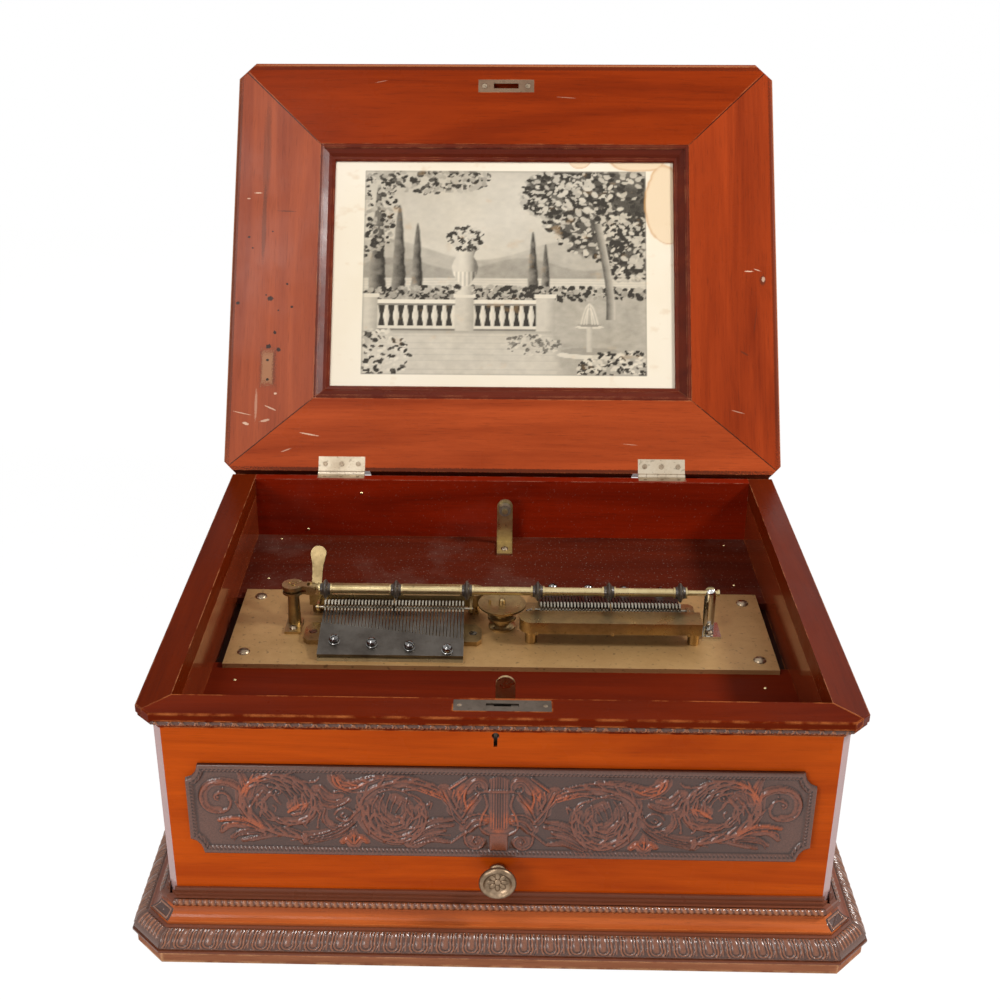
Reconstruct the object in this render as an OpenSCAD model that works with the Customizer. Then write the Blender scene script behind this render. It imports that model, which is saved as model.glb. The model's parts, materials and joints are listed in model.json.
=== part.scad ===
// Table disc music box with two opposed combs, lid open.
// Millimetres, +Z up, +Y to the rear. Origin on the ground at the centre of the foot board.

/* [Case] */
// Width over the side walls
body_w = 480; // [440:1:560]
// Depth from the front face to the rear face
body_d = 387.5; // [360:0.5:440]
// Height of the rim's top over the ground
case_h = 203.5; // [190:0.5:240]
// Thickness of the front wall
front_t = 14.5; // [13:0.5:18]
// Thickness of each side wall
side_t = 12.6; // [10:0.1:16]
// Thickness of the rear wall
rear_t = 10; // [9:0.5:14]
// Chamfer on the upright front corners
corner_c = 6; // [3:0.5:9]
// Thickness of the foot board
board_t = 9; // [7:0.5:12]
// How far the foot board stays inside the base moulding
board_in = 3; // [1:0.5:6]

/* [Mouldings] */
// Reach of the base moulding past the front and sides
base_over = 29; // [24:0.5:36]
// Reach of the base moulding past the rear
rear_over = 18.5; // [14:0.5:24]
// Height of the base moulding's top over the ground
base_h = 48; // [44:1:56]
// Corner chamfer of the base moulding
base_c = 24; // [16:1:30]
// Height of the rim moulding
rim_h = 17.5; // [15:0.5:22]
// Reach of the rim past the front and sides
rim_over = 10; // [8:0.5:14]
// Corner chamfer of the rim
rim_c = 11.5; // [8:0.5:16]

/* [Front] */
// Width of the carved panel
panel_w = 440; // [380:1:446]
// Height of the carved panel
panel_h = 76.5; // [60:0.5:84]
// Height of the panel's lower edge over the ground
panel_z = 80.5; // [72:0.5:86]
// How far the panel stands proud of the wall
panel_t = 2.5; // [1.5:0.5:5]
// Diameter of the front knob
knob_d = 27; // [20:1:32]
// Height of the knob over the ground
knob_z = 68.5; // [64:0.5:72]
// Travel of the knob
knob_travel = 8; // [4:1:10]
// Drop from the rim's top to the keyhole's lower end
key_drop = 30; // [27:0.5:33]

/* [Lid] */
// Angle from closed to open
lid_open = 124; // [100:1:130]
// Reach of the lid past the rim at the sides
lid_over = 9.3; // [6:0.1:12]
// Reach of the lid past the rim at the front
lid_over_front = 7; // [5:0.5:10]
// Thickness of the lid's frame
lid_t = 20; // [18:0.5:26]
// Thickness of the raised panel on top of the lid
lid_field_t = 8; // [5:0.5:14]
// Width of the side rails of the lid
lid_side_w = 82; // [70:0.5:90]
// Width of the rear rail of the lid
lid_rear_w = 69.4; // [60:0.2:80]
// Width of the front rail of the lid
lid_front_w = 83; // [74:0.5:92]
// Chamfer on the lid's front corners
lid_c = 16.2; // [10:0.1:20]
// Chamfer on the lid's rear corners
lid_rear_c = 8.3; // [4:0.1:10]
// Width of the moulding round the print
frame_w = 14; // [10:0.5:18]
// Depth from the lid's underside to the print
recess = 11; // [8:0.5:13]
// Gap between the closed lid and the rim
lid_gap = 0.3; // [0.2:0.1:0.6]
// Radius of the hinge pins
pin_r = 1.5; // [1.2:0.1:1.8]
// Radius of the hinge knuckles
knuckle_r = 2.7; // [2.5:0.1:3]
// Length of each hinge
hinge_len = 43.3; // [34:0.1:50]
// Distance of each hinge's middle from the centre
hinge_x = 148.5; // [120:0.5:180]

/* [Well] */
// Height of the deck's top over the ground
deck_z = 146; // [140:0.5:152]
// Thickness of the deck
deck_t = 6; // [5:0.5:8]
// Depth of the front deck
front_deck_d = 135; // [124:1:137]
// Depth of the rear deck
rear_deck_d = 122; // [116:1:126]
// Gap between the bedplate and each side wall
bed_gap = 8.4; // [6:0.2:12]
// Depth of the bedplate
bed_d = 122; // [120:1:140]
// Thickness of the bedplate
bed_t = 4; // [3:0.5:6]

/* [Movement] */
// Sideways place of the spindle
spindle_x = 1.5; // [-4:0.5:4]
// Distance of the spindle behind the centre of the base
spindle_y = 16.5; // [14:0.5:18]
// Teeth on each comb
teeth = 42; // [30:1:44]
// Pitch of the comb teeth
pitch = 2.76; // [2.6:0.02:2.8]
// Slope of the combs in degrees
slope = 13.5; // [10:0.5:16]
// Thickness of the comb plate
comb_t = 3; // [2:0.2:4]
// Thickness of the comb teeth
tooth_t = 1.6; // [1:0.1:2]
// Length of the shortest tooth
tooth_short = 14.4; // [12:0.2:18]
// Length of the longest tooth
tooth_long = 32; // [26:0.5:34]
// Length of the comb from its tips to its back edge
comb_d = 51; // [48:0.5:54]
// Radius of the star wheels
star_r = 6.6; // [6:0.1:7]
// Height of the star wheels' shaft over the bedplate
star_h = 16.2; // [15:0.2:18]
// Gap between the star wheels and the comb tips
star_gap = 0.5; // [0.4:0.1:0.8]
// Radius of the star wheels' shafts
star_shaft_r = 1; // [0.8:0.1:1.4]
// Height of the pressure bar's axis over the bedplate
bar_h = 33.2; // [32:0.2:36]
// Radius of the pressure bar
bar_r = 3.5; // [3:0.1:4]
// Radius of the rollers on the pressure bar
roller_r = 8; // [7:0.5:9]
// Distance of the inner rollers from the spindle
roller_x = 28.8; // [26:0.2:30]
// Spacing between rollers on one side
roller_step = 57.9; // [54:0.1:58]
// Running clearance of shafts, on the radius
fit = 0.05; // [0.03:0.01:0.08]
// Diameter of the turntable dish
dish_d = 39; // [34:0.5:40]
// Height of the dish's top over the bedplate
dish_h = 22; // [20:0.5:23]
// Distance of each post from the spindle
post_x = 171.3; // [168:0.1:174]
// Diameter of the posts
post_d = 9.4; // [8.6:0.1:11]
// Radius of the edge rollers
edge_r = 5.3; // [4:0.1:6]
// Gap between the rear edge bracket and the rear wall
bracket_gap = 14.5; // [12.5:0.5:20]

/* [Motor] */
// Pitch radius of the great wheel
great_r = 44.6; // [40:0.1:46]
// Turns of the train arbor for one turn of the great wheel
great_ratio = 3; // [3:1:3]
// Turns of the hub for one turn of the contrate wheel
hub_ratio = 2.5; // [2.5:0.5:2.5]
// Turns of the governor for one turn of the hub
fan_ratio = 6; // [6:1:6]
// Radius of the spring barrel
barrel_r = 36; // [30:0.5:38]
// Length of the spring barrel
barrel_len = 60; // [44:1:62]
// Radius of the winding arbor
wind_r = 4; // [3.5:0.1:4.5]

/* [Hidden] */
$fn = 48;
far = 900;

// Outline of the body and of the base
hw = body_w / 2;
base_w = body_w + 2 * base_over;
base_d = body_d + base_over + rear_over;
front_y = -base_d / 2 + base_over;
rear_y = base_d / 2 - rear_over;
in_x = hw - side_t;
in_front = front_y + front_t;
in_rear = rear_y - rear_t;
rim_z = case_h - rim_h;
bed_w = 2 * (in_x - bed_gap);
edge_y = in_rear - bracket_gap - spindle_y;
key_z = case_h - key_drop;

// Hinge pin, on the line where the lid and the rear wall meet
pin_y = rear_y + knuckle_r + 0.1;
pin_z = case_h + lid_gap / 2;

// Well and bedplate
bed_top = deck_z + bed_t;
bed_front = spindle_y - bed_d / 2 - 2.5;
bed_rear = bed_front + bed_d;
deck_low = deck_z - deck_t;
bearer_x0 = bed_w / 2 - 27;
bearer_x1 = bed_w / 2 - 3;
ledge_w = 9;
ledge_h = 14;
bearer_h = 20;

// Movement, as places from the spindle and heights over the bedplate
comb_len = teeth * pitch;
comb_x = 30.6 + comb_len / 2;
tip_y = star_r + star_gap;
tip_h = star_h + tooth_t * 0.7;
ear_x0 = comb_x - comb_len / 2 - 4;
ear_x1 = comb_x + comb_len / 2 + 4;
ear_t = 2;
gantry_x0 = 14;
gantry_x1 = 160;
gantry_y0 = 11.5;
gantry_y1 = 31.5;
gantry_h0 = 11.5;
gantry_h1 = 21.7;
pillar_r = 4.8;
pillar_x0 = gantry_x0 + 9.5;
pillar_x1 = gantry_x1 - 5.5;
pillar_y = gantry_y0 + 12;
pivot_x = post_x - 15.5;
screw_head_r = 4.1;
lug_t = 4.2;
lug_w = 14;
lug_y = 33;
comb_screw_x = [for (i = [0:3]) comb_x + comb_len / 2 - 12.7 - i * (comb_len - 25.4) / 3];

// Motor
great_teeth = 72;
train_teeth = great_teeth / great_ratio;
train_r = great_r / great_ratio;
motor_gap = 0.2;
train_h = -66;
barrel_h = -86;
barrel_y = sqrt(pow(great_r + train_r + motor_gap, 2) - pow(barrel_h - train_h, 2));
hub_teeth = 20;
hub_r = 8;
contrate_teeth = hub_teeth * hub_ratio;
contrate_r = hub_r * hub_ratio;
fan_teeth = 12;
fan_r = 5;
spur_r = fan_r * fan_ratio;
fan_x = spur_r + fan_r + motor_gap;
spur_h = -22;
cock_h = -36;
plate_t = 3;
plate_a = 38;
plate_b = plate_a + 22 + barrel_len + 5;
arbor_r = 2.5;

function arc(cx, cy, r, a0, a1, n) =
  [for (i = [0:n]) let (a = a0 + (a1 - a0) * i / n) [cx + r * cos(a), cy + r * sin(a)]];

// Points of a wheel with teeth of the given height above and below its pitch circle
function gear_points(n, r, up, down, phase) =
  [for (i = [0:n - 1], k = [0:3])
    let (a = phase + (i + [-0.26, -0.15, 0.15, 0.26][k]) * 360 / n, q = [r - down, r + up, r + up, r - down][k])
    [q * cos(a), q * sin(a)]];

// Half space under a moulding profile; x of the profile is the distance past the outline
module eave(profile, angle, dist) {
  z0 = profile[0][1];
  z1 = profile[len(profile) - 1][1];
  rotate([0, 0, angle])
    translate([dist, far / 2, 0])
      rotate([90, 0, 0])
        linear_extrude(far)
          polygon(concat(profile, [[-far, z1], [-far, z0]]));
}

// Solid with a moulding on every edge of an outline with chamfered corners
module moulded(profile, half_w, front, rear, cf, cr) {
  intersection() {
    eave(profile, 0, half_w);
    eave(profile, 180, half_w);
    eave(profile, 270, front);
    eave(profile, 90, rear);
    eave(profile, -45, (half_w + front - cf) / sqrt(2));
    eave(profile, -135, (half_w + front - cf) / sqrt(2));
    if (cr > 0) {
      eave(profile, 45, (half_w + rear - cr) / sqrt(2));
      eave(profile, 135, (half_w + rear - cr) / sqrt(2));
    }
  }
}

// Plan of one mitred rail: 0 front, 1 right, 2 rear, 3 left
module mitre(side, in_w, in_f, in_r, out_w, out_f, out_r, z0, z1) {
  k = 1.4;
  fx = in_w + k * (out_w - in_w);
  ff = in_f + k * (out_f - in_f);
  rr = in_r + k * (out_r - in_r);
  plan = [
    [[-in_w, -in_f], [-fx, -ff], [fx, -ff], [in_w, -in_f]],
    [[in_w, -in_f], [fx, -ff], [fx, rr], [in_w, in_r]],
    [[in_w, in_r], [fx, rr], [-fx, rr], [-in_w, in_r]],
    [[-in_w, in_r], [-fx, rr], [-fx, -ff], [-in_w, -in_f]]
  ][side];
  translate([0, 0, z0]) linear_extrude(z1 - z0) polygon(plan);
}

module box(x0, x1, y0, y1, z0, z1) {
  translate([x0, y0, z0]) cube([x1 - x0, y1 - y0, z1 - z0]);
}

module rod_x(r, x0, x1) {
  translate([x0, 0, 0]) rotate([0, 90, 0]) cylinder(r = r, h = x1 - x0);
}

module rod_y(r, y0, y1) {
  translate([0, y1, 0]) rotate([90, 0, 0]) cylinder(r = r, h = y1 - y0);
}

module at_spindle() {
  translate([spindle_x, spindle_y, bed_top]) children();
}

// Body outline with its chamfered front corners
module body_plan(z0, z1) {
  translate([0, 0, z0])
    linear_extrude(z1 - z0)
      polygon([
        [-hw, rear_y], [-hw, front_y + corner_c], [-hw + corner_c, front_y],
        [hw - corner_c, front_y], [hw, front_y + corner_c], [hw, rear_y]
      ]);
}

module foot_board() {
  a = base_w / 2 - board_in;
  b = base_d / 2 - board_in;
  c = base_c - board_in * 0.6;
  color("#5a2a17")
    linear_extrude(board_t)
      polygon([
        [-a, b - c], [-a, -b + c], [-a + c, -b], [a - c, -b],
        [a, -b + c], [a, b - c], [a - c, b], [-a + c, b]
      ]);
}

// Base moulding from the top: fillets, bead, sloped band, fillet, ovolo, fillet
base_profile = concat(
  [[-2, board_t], [0, board_t + 2], [0, board_t + 3.5]],
  arc(-13.7, board_t + 3.5, 12.5, 0, 80, 8),
  [[-13.5, board_t + 16.5], [-13.5, base_h - 19.5]],
  arc(-13, base_h - 9.5, 10, -92, -150, 5),
  arc(-base_over + 5.2, base_h - 9.7, 2.9, -70, 90, 8),
  [[-base_over + 3.4, base_h - 6.4], [-base_over + 3.4, base_h - 3.6]],
  [[-base_over + 1.8, base_h - 3.6], [-base_over + 1.8, base_h]]
);

module base_rail(side) {
  color("#6b2e17")
    difference() {
      intersection() {
        moulded(base_profile, base_w / 2, base_d / 2, base_d / 2, base_c, base_c);
        mitre(side, hw, -front_y, rear_y, base_w / 2, base_d / 2, base_d / 2, board_t, base_h);
      }
      body_plan(board_t - 1, base_h + 1);
    }
}

lock_x = spindle_x;
lock_w = 60;
lock_t = 9;
lock_h = 36;
lock_y = front_y + 2;
lock_bottom = case_h - lock_h - 2.5;
key_x = lock_x - 4.5;
key_r = 2.6;
key_top = key_z + 9;

module lock_pocket(slack) {
  box(lock_x - lock_w / 2 - slack, lock_x + lock_w / 2 + slack, lock_y - slack, lock_y + lock_t + slack,
      lock_bottom - slack, case_h + 1);
}

module key_cut(y0, y1) {
  translate([key_x, 0, key_top]) rod_y(key_r, y0, y1);
  box(key_x - key_r / 2, key_x + key_r / 2, y0, y1, key_z, key_top);
}

knob_neck_r = 4;
knob_x = key_x + 2.5;

module front_wall() {
  color("#a24a17")
    difference() {
      intersection() {
        body_plan(board_t, rim_z);
        box(-hw, hw, front_y, in_front, board_t, rim_z);
      }
      lock_pocket(0.2);
      key_cut(front_y - 1, lock_y + 1);
      translate([knob_x, 0, knob_z]) rod_y(knob_neck_r + 0.15, front_y - 1, in_front + 1);
    }
}

module rear_wall() {
  color("#5c1d12")
    difference() {
      union() {
        box(-hw, hw, in_rear, rear_y, board_t, rim_z);
        box(-in_x, in_x, in_rear, rear_y, rim_z, case_h);
      }
      case_leaf_pockets();
      case_screw_set();
    }
}

module side_wall(s) {
  color("#6d2414")
    difference() {
      box(s > 0 ? in_x : -hw, s > 0 ? hw : -in_x, in_front, in_rear, board_t, rim_z);
      if (s > 0)
        translate([0, spindle_y + barrel_y, bed_top + barrel_h])
          rod_x(wind_r + 2, in_x - 1, hw + 1);
    }
}

module carved_panel() {
  a = panel_w / 2;
  b = panel_h / 2;
  border = 7;
  color("#3a1d10")
    translate([0, front_y, panel_z + b])
      rotate([90, 0, 0]) {
        linear_extrude(panel_t)
          panel_outline(a, b, 9, 12);
        translate([0, 0, panel_t])
          linear_extrude(1)
            difference() {
              panel_outline(a, b, 9, 12);
              panel_outline(a - border, b - border, 9, 12);
            }
      }
}

// Rectangle whose corners are cut by quarter hollows
module panel_outline(a, b, cx, cy) {
  difference() {
    square([2 * a, 2 * b], center = true);
    for (sx = [-1, 1], sy = [-1, 1])
      translate([sx * a, sy * b])
        polygon([[0, 0], [-sx * cx, 0], [-sx * cx * 0.9, -sy * cy * 0.45],
          [-sx * cx * 0.62, -sy * cy * 0.78], [-sx * cx * 0.2, -sy * cy], [0, -sy * cy]]);
  }
}

// Rim moulding from below: cove, carved bead, square edge
rim_profile = concat(
  [[-rim_over + 0.5, rim_z]],
  arc(-3, rim_z + 0.5, 6.5, 180, 90, 6),
  [[-2.4, rim_z + 7.2]],
  arc(-3, rim_z + 9.2, 2, -60, 60, 4),
  [[-2, rim_z + 11.5], [0, rim_z + 11.5], [0, case_h - 0.6], [-0.6, case_h]]
);

module rim_rail(side) {
  color("#7a2c15")
    difference() {
      intersection() {
        moulded(rim_profile, hw + rim_over, -front_y + rim_over, rear_y + 40, rim_c, 0);
        mitre(side, in_x, -in_front, rear_y, hw + rim_over, -front_y + rim_over, rear_y, rim_z, case_h);
      }
      box(-in_x, in_x, in_front, rear_y + 1, rim_z - 1, case_h + 1);
      if (side == 0) {
        lock_pocket(0.2);
        plate_pocket(0.1);
      }
      case_screw_set();
    }
}

plate_w = 67;
plate_d = 13.5;
plate_y = front_y - 1;

module plate_pocket(slack) {
  box(lock_x - plate_w / 2 - slack, lock_x + plate_w / 2 + slack, plate_y - slack, plate_y + plate_d + slack,
      case_h - 2.5, case_h + 1);
}

module rim_lock() {
  color("#8b8880")
    difference() {
      union() {
        box(lock_x - lock_w / 2, lock_x + lock_w / 2, lock_y, lock_y + lock_t, lock_bottom, case_h - 2.5);
        box(lock_x - plate_w / 2, lock_x + plate_w / 2, plate_y, plate_y + plate_d, case_h - 2.5, case_h);
      }
      bolt_space(0.3);
      key_cut(lock_y - 1, lock_y + lock_t / 2);
      case_screw_set();
    }
}

bolt_w = 22;
bolt_t = 3;
bolt_h = 24;
bolt_y = lock_y + lock_t / 2 - bolt_t / 2;

module bolt_space(slack) {
  box(lock_x - bolt_w / 2 - slack, lock_x + bolt_w / 2 + slack, bolt_y - slack, bolt_y + bolt_t + slack,
      case_h - 1 - bolt_h - slack, case_h + 1);
}

// Two hooks on a plate that rises out of the lock
module lock_bolt() {
  color("#6f6c66")
    difference() {
      box(lock_x - bolt_w / 2, lock_x + bolt_w / 2, bolt_y, bolt_y + bolt_t, case_h - 1 - bolt_h, case_h - 1);
      box(lock_x - bolt_w / 2 + 5, lock_x + bolt_w / 2 - 5, bolt_y - 1, bolt_y + bolt_t + 1, case_h - 7, case_h);
    }
}

module front_knob() {
  color("#8f7b52")
    translate([knob_x, front_y, knob_z])
      rotate([90, 0, 0])
        rotate_extrude() {
          polygon(concat(
            [[0, -front_t - knob_travel - 6], [knob_neck_r, -front_t - knob_travel - 6], [knob_neck_r, 2],
              [6.2, 2], [6.2, 4], [4.8, 5.5], [4.8, 9.5], [6.5, 11.2]],
            arc(knob_d / 2 - 2.6, 14.8, 2.6, -70, 90, 8),
            [[knob_d / 2 - 4, 18.4], [knob_d / 2 - 5, 17.8], [5, 18.6], [0, 19]]
          ));
        }
}

module winding_escutcheon() {
  color("#a98a45")
    translate([0, spindle_y + barrel_y, bed_top + barrel_h])
      difference() {
        union() {
          rod_x(wind_r + 2, in_x + 2, hw);
          rod_x(14, hw, hw + 2);
        }
        rod_x(wind_r + 0.6, in_x, hw + 3);
      }
}

module front_deck() {
  color("#4a130d")
    difference() {
      box(-in_x, in_x, in_front, in_front + front_deck_d, deck_low, deck_z);
      case_screw_set();
    }
}

module rear_deck() {
  color("#4a130d")
    difference() {
      box(-in_x, in_x, in_rear - rear_deck_d, in_rear, deck_low, deck_z);
      case_screw_set();
    }
}

// Ledges that carry the decks, and the blocks that carry the bedplate between them
module well_bearers() {
  y0 = in_front + front_deck_d;
  y1 = in_rear - rear_deck_d;
  color("#4a1a10")
    difference() {
      for (s = [-1, 1])
        mirror([s > 0 ? 0 : 1, 0, 0]) {
          box(in_x - ledge_w, in_x, in_front, in_rear, deck_low - ledge_h, deck_low);
          box(bearer_x0, in_x - ledge_w, y0 - 20, y1 + 20, deck_low - bearer_h, deck_low);
          box(bearer_x0, bearer_x1, y0, y1, deck_low, deck_z);
        }
      case_screw_set();
    }
}

bed_screws = [[-bed_w / 2 + 14, bed_rear - 13], [-bed_w / 2 + 14, bed_front + 18],
  [bed_w / 2 - 13.5, bed_rear - 15.6], [bed_w / 2 - 13.5, bed_front + 14.6]];

module bedplate() {
  color("#b08d4c")
    difference() {
      box(-bed_w / 2, bed_w / 2, bed_front, bed_rear, deck_z, bed_top);
      case_screw_set();
      at_spindle() {
        translate([0, 0, -bed_t - 1]) cylinder(r = 6, h = bed_t + 2);
        translate([-fan_x, 0, -bed_t - 1]) cylinder(r = 1.5 + fit, h = bed_t + 2);
      }
    }
}

// Round-headed screw with its slot turned by the given angle
module wood_screw(x, y, z, r, len, turn) {
  translate([x, y, z]) {
    difference() {
      rotate_extrude()
        polygon([[0, 0], [r, 0], [r * 0.97, 0.5], [r * 0.8, 1.5], [r * 0.45, 2.2], [0, 2.4]]);
      rotate([0, 0, turn]) box(-far, far, -0.11 * r, 0.11 * r, 1.3, 3);
    }
    translate([0, 0, -len]) cylinder(r = r / 2, h = len);
  }
}

module case_screw_set() {
  for (i = [0:3]) wood_screw(bed_screws[i][0], bed_screws[i][1], bed_top, 5.2, 14, [8, 5, -12, -15][i]);
  for (y = [-edge_y, edge_y]) wood_screw(bracket_x, spindle_y + y - 14, deck_z + 2, 3.4, 7, 70);
  for (x = [-post_x, post_x - 2]) wood_screw(spindle_x + x, spindle_y - 11, bed_top + 2.2, 3.2, 5, 25);
  for (s = [-1, 1])
    translate([lock_x + s * (plate_w / 2 - 4), plate_y + plate_d / 2, case_h - 10]) cylinder(r = 1.6, h = 10);
  for (s = [-1, 1], k = [-1, 0, 1])
    translate([s * hinge_x + k * hinge_screw_x, rear_y - case_leaf_d / 2, case_h - 10]) cylinder(r = 1.7, h = 10);
}

module case_screws() {
  color("#b9b2a0") case_screw_set();
}

hinge_screw_x = 15.4;
leaf_t = 1.4;
case_leaf_d = 7;
lid_leaf_d = 13.5;

// Lid, drawn closed and then turned open about the hinge pins
lid_hw = hw + rim_over + lid_over;
lid_front = -front_y + rim_over + lid_over_front;
lid_z0 = case_h + lid_gap;
lid_z1 = lid_z0 + lid_t;
open_hw = lid_hw - lid_side_w;
open_front = lid_front - lid_front_w;
open_rear = rear_y - lid_rear_w;
print_z = lid_z0 + recess;
print_t = 1;

module lid_place() {
  translate([0, pin_y, pin_z]) rotate([-lid_open, 0, 0]) translate([0, -pin_y, -pin_z]) children();
}

lid_profile = concat(
  arc(-3, lid_z0 + 3, 3, -90, 0, 4),
  [[0, lid_z0 + 9], [-2, lid_z0 + 9.6], [-2, lid_z0 + 11]],
  arc(0, lid_z1 - 0.5, 8, -120, -178, 5),
  [[-9, lid_z1]]
);

// Rear edge of the lid stays plain, so its profile lies past the cut
module lid_rail(side) {
  color("#7d2f18")
    lid_place()
      difference() {
        intersection() {
          moulded(lid_profile, lid_hw, lid_front, rear_y + 40, lid_c, 0);
          mitre(side, open_hw, open_front, open_rear, lid_hw, lid_front, rear_y, lid_z0, lid_z1);
          lid_rear_plan(lid_z0, lid_z1);
        }
        box(-open_hw, open_hw, -open_front, open_rear, lid_z0 - 1, lid_z1 + 1);
        if (side == 0) strike_pocket(0);
        if (side == 2) lid_leaf_pockets(0);
        lid_screw_set();
      }
}

module lid_rear_plan(z0, z1) {
  translate([0, 0, z0])
    linear_extrude(z1 - z0)
      polygon([
        [-lid_hw, -far], [-lid_hw, rear_y - lid_rear_c], [-lid_hw + lid_rear_c, rear_y],
        [lid_hw - lid_rear_c, rear_y], [lid_hw, rear_y - lid_rear_c], [lid_hw, -far]
      ]);
}

// Raised panel above the frame, with the board behind the print as one piece
field_in = 16;
field_profile = [[0, lid_z1], [0, lid_z1 + 1.5], [-12, lid_z1 + lid_field_t - 1.5], [-12.8, lid_z1 + lid_field_t]];

module lid_panel() {
  color("#7d2f18")
    lid_place() {
      intersection() {
        moulded(field_profile, lid_hw - field_in, lid_front - field_in, rear_y - field_in, lid_c, lid_rear_c);
        box(-far, far, -far, far, lid_z1, lid_z1 + lid_field_t);
      }
      box(-open_hw, open_hw, -open_front, open_rear, print_z + print_t, lid_z1 + 1);
    }
}

module picture_print() {
  m = frame_w - rebate;
  color("#e6d7b4")
    lid_place()
      box(-open_hw + m, open_hw - m, -open_front + m, open_rear - m, print_z, print_z + print_t);
}

// Moulding that slopes down to the print, with a rebate that holds the print's edge
rebate = 6;
module lid_moulding() {
  face = [
    [0, lid_z0 + 0.4], [-2.2, lid_z0 + 0.2], [-3.6, lid_z0 + 1], [-3.6, lid_z0 + 2.2], [-8, lid_z0 + 5],
    [-frame_w + 3.4, lid_z0 + recess - 3.6], [-frame_w + 1, lid_z0 + recess - 3.2], [-frame_w, lid_z0 + recess - 2],
    [-frame_w, lid_z1 + 1], [-far, lid_z1 + 1], [-far, lid_z0 - 1], [1, lid_z0 - 1], [1, lid_z0 + 0.4]
  ];
  m = frame_w - rebate;
  color("#541910")
    lid_place()
      difference() {
        box(-open_hw, open_hw, -open_front, open_rear, lid_z0, print_z + print_t);
        intersection_for (side = [0:3])
          rotate([0, 0, [270, 0, 90, 180][side]])
            translate([[open_front, open_hw, open_rear, open_hw][side], far / 2, 0])
              rotate([90, 0, 0])
                linear_extrude(far)
                  polygon(face);
        box(-open_hw + m, open_hw - m, -open_front + m, open_rear - m, print_z, print_z + print_t + 1);
      }
}

strike_w = 54;
strike_d = 13;
strike_y = bolt_y + bolt_t / 2 - strike_d / 2;
strike_t = 1.6;

module strike_pocket(slack) {
  box(lock_x - strike_w / 2 - slack, lock_x + strike_w / 2 + slack, strike_y - slack,
      strike_y + strike_d + slack, lid_z0 - 1, lid_z0 + strike_t);
  box(lock_x - bolt_w / 2 - 2, lock_x + bolt_w / 2 + 2, bolt_y - 1.5, bolt_y + bolt_t + 1.5,
      lid_z0, lid_z0 + 8);
}

module lid_strike() {
  color("#b5aea0")
    lid_place()
      difference() {
        box(lock_x - strike_w / 2, lock_x + strike_w / 2, strike_y, strike_y + strike_d, lid_z0, lid_z0 + strike_t);
        box(lock_x - bolt_w / 2 - 1, lock_x + bolt_w / 2 + 1, bolt_y - 1, bolt_y + bolt_t + 1,
            lid_z0 - 1, lid_z0 + strike_t + 1);
        lid_screw_places() translate([0, 0, -1]) cylinder(r = 2.8, h = 1.4);
        lid_screw_set();
      }
}

module lid_screw_places() {
  for (s = [-1, 1], k = [-1, 0, 1])
    translate([s * hinge_x + k * hinge_screw_x, rear_y - 6.5, lid_z0]) rotate([0, 0, 35 * s - 50 * k]) children();
  for (s = [-1, 1])
    translate([lock_x + s * 21, strike_y + strike_d / 2, lid_z0]) rotate([0, 0, 20 * s]) children();
}

// Sunk screws; the slot of each faces down when the lid is shut
module lid_screw_set() {
  lid_screw_places()
    difference() {
      union() {
        cylinder(r = 1.6, h = 9);
        translate([0, 0, -0.1]) cylinder(r = 2.3, h = 0.9);
      }
      box(-3, 3, -0.4, 0.4, -1, 0.3);
    }
}

module lid_screws() {
  color("#cfc8b6") lid_place() lid_screw_set();
}

// Knuckles of one hinge: three short ones belong to the lid leaf, the two between them to the case leaf
knuckle_gap = 0.15;
knuckle_ends = [for (q = [-0.5, -0.325, -0.088, 0.088, 0.325, 0.5]) q * hinge_len];
module knuckles(parts, z) {
  for (i = parts) {
    a = knuckle_ends[i] + knuckle_gap;
    b = knuckle_ends[i + 1] - knuckle_gap;
    translate([0, pin_y, pin_z]) rod_x(knuckle_r, a, b);
    box(a, b, rear_y - 2, pin_y, z, z + leaf_t);
  }
}

module lid_leaf_pockets(slack) {
  for (s = [-1, 1])
    translate([s * hinge_x, 0, 0])
      box(-hinge_len / 2 - slack, hinge_len / 2 + slack, rear_y - lid_leaf_d, rear_y + 1, lid_z0 - 1, lid_z0 + leaf_t);
}

module lid_hinge_leaves() {
  color("#c2b48c")
    lid_place()
      for (s = [-1, 1])
        translate([s * hinge_x, 0, 0])
          difference() {
            union() {
              box(-hinge_len / 2, hinge_len / 2, rear_y - lid_leaf_d, rear_y, lid_z0, lid_z0 + leaf_t);
              knuckles([0, 2, 4], lid_z0);
            }
            translate([0, pin_y, pin_z]) rod_x(pin_r + fit, -hinge_len, hinge_len);
            translate([-s * hinge_x, 0, 0]) {
              lid_screw_places() translate([0, 0, -1]) cylinder(r = 2.8, h = 1.4);
              lid_screw_set();
            }
          }
}

module case_hinge_leaves() {
  color("#c2b48c")
    for (s = [-1, 1])
      translate([s * hinge_x, 0, 0])
        difference() {
          union() {
            box(-hinge_len / 2, hinge_len / 2, rear_y - case_leaf_d, rear_y, case_h - leaf_t, case_h);
            knuckles([1, 3], case_h - leaf_t);
            translate([0, pin_y, pin_z]) rod_x(pin_r, -hinge_len / 2, hinge_len / 2);
          }
          translate([-s * hinge_x, 0, 0]) case_screw_set();
        }
}

module case_leaf_pockets() {
  for (s = [-1, 1])
    translate([s * hinge_x, 0, 0])
      box(-hinge_len / 2, hinge_len / 2, rear_y - case_leaf_d, rear_y + 1, case_h - leaf_t, case_h + 1);
}

// Comb with its tips on the X axis, teeth along +Y, top face at height 0
function root(i) = tooth_short + (tooth_long - tooth_short) * (i + 0.5) / teeth;
comb_teeth = [for (i = [0:teeth - 1], k = [0:3])
  let (x = -comb_len / 2 + (i + 0.5) * pitch)
  [x + [-0.38, -0.27, 0.27, 0.38][k] * pitch, [-root(i), 0, 0, -root(i)][k]]];

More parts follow.
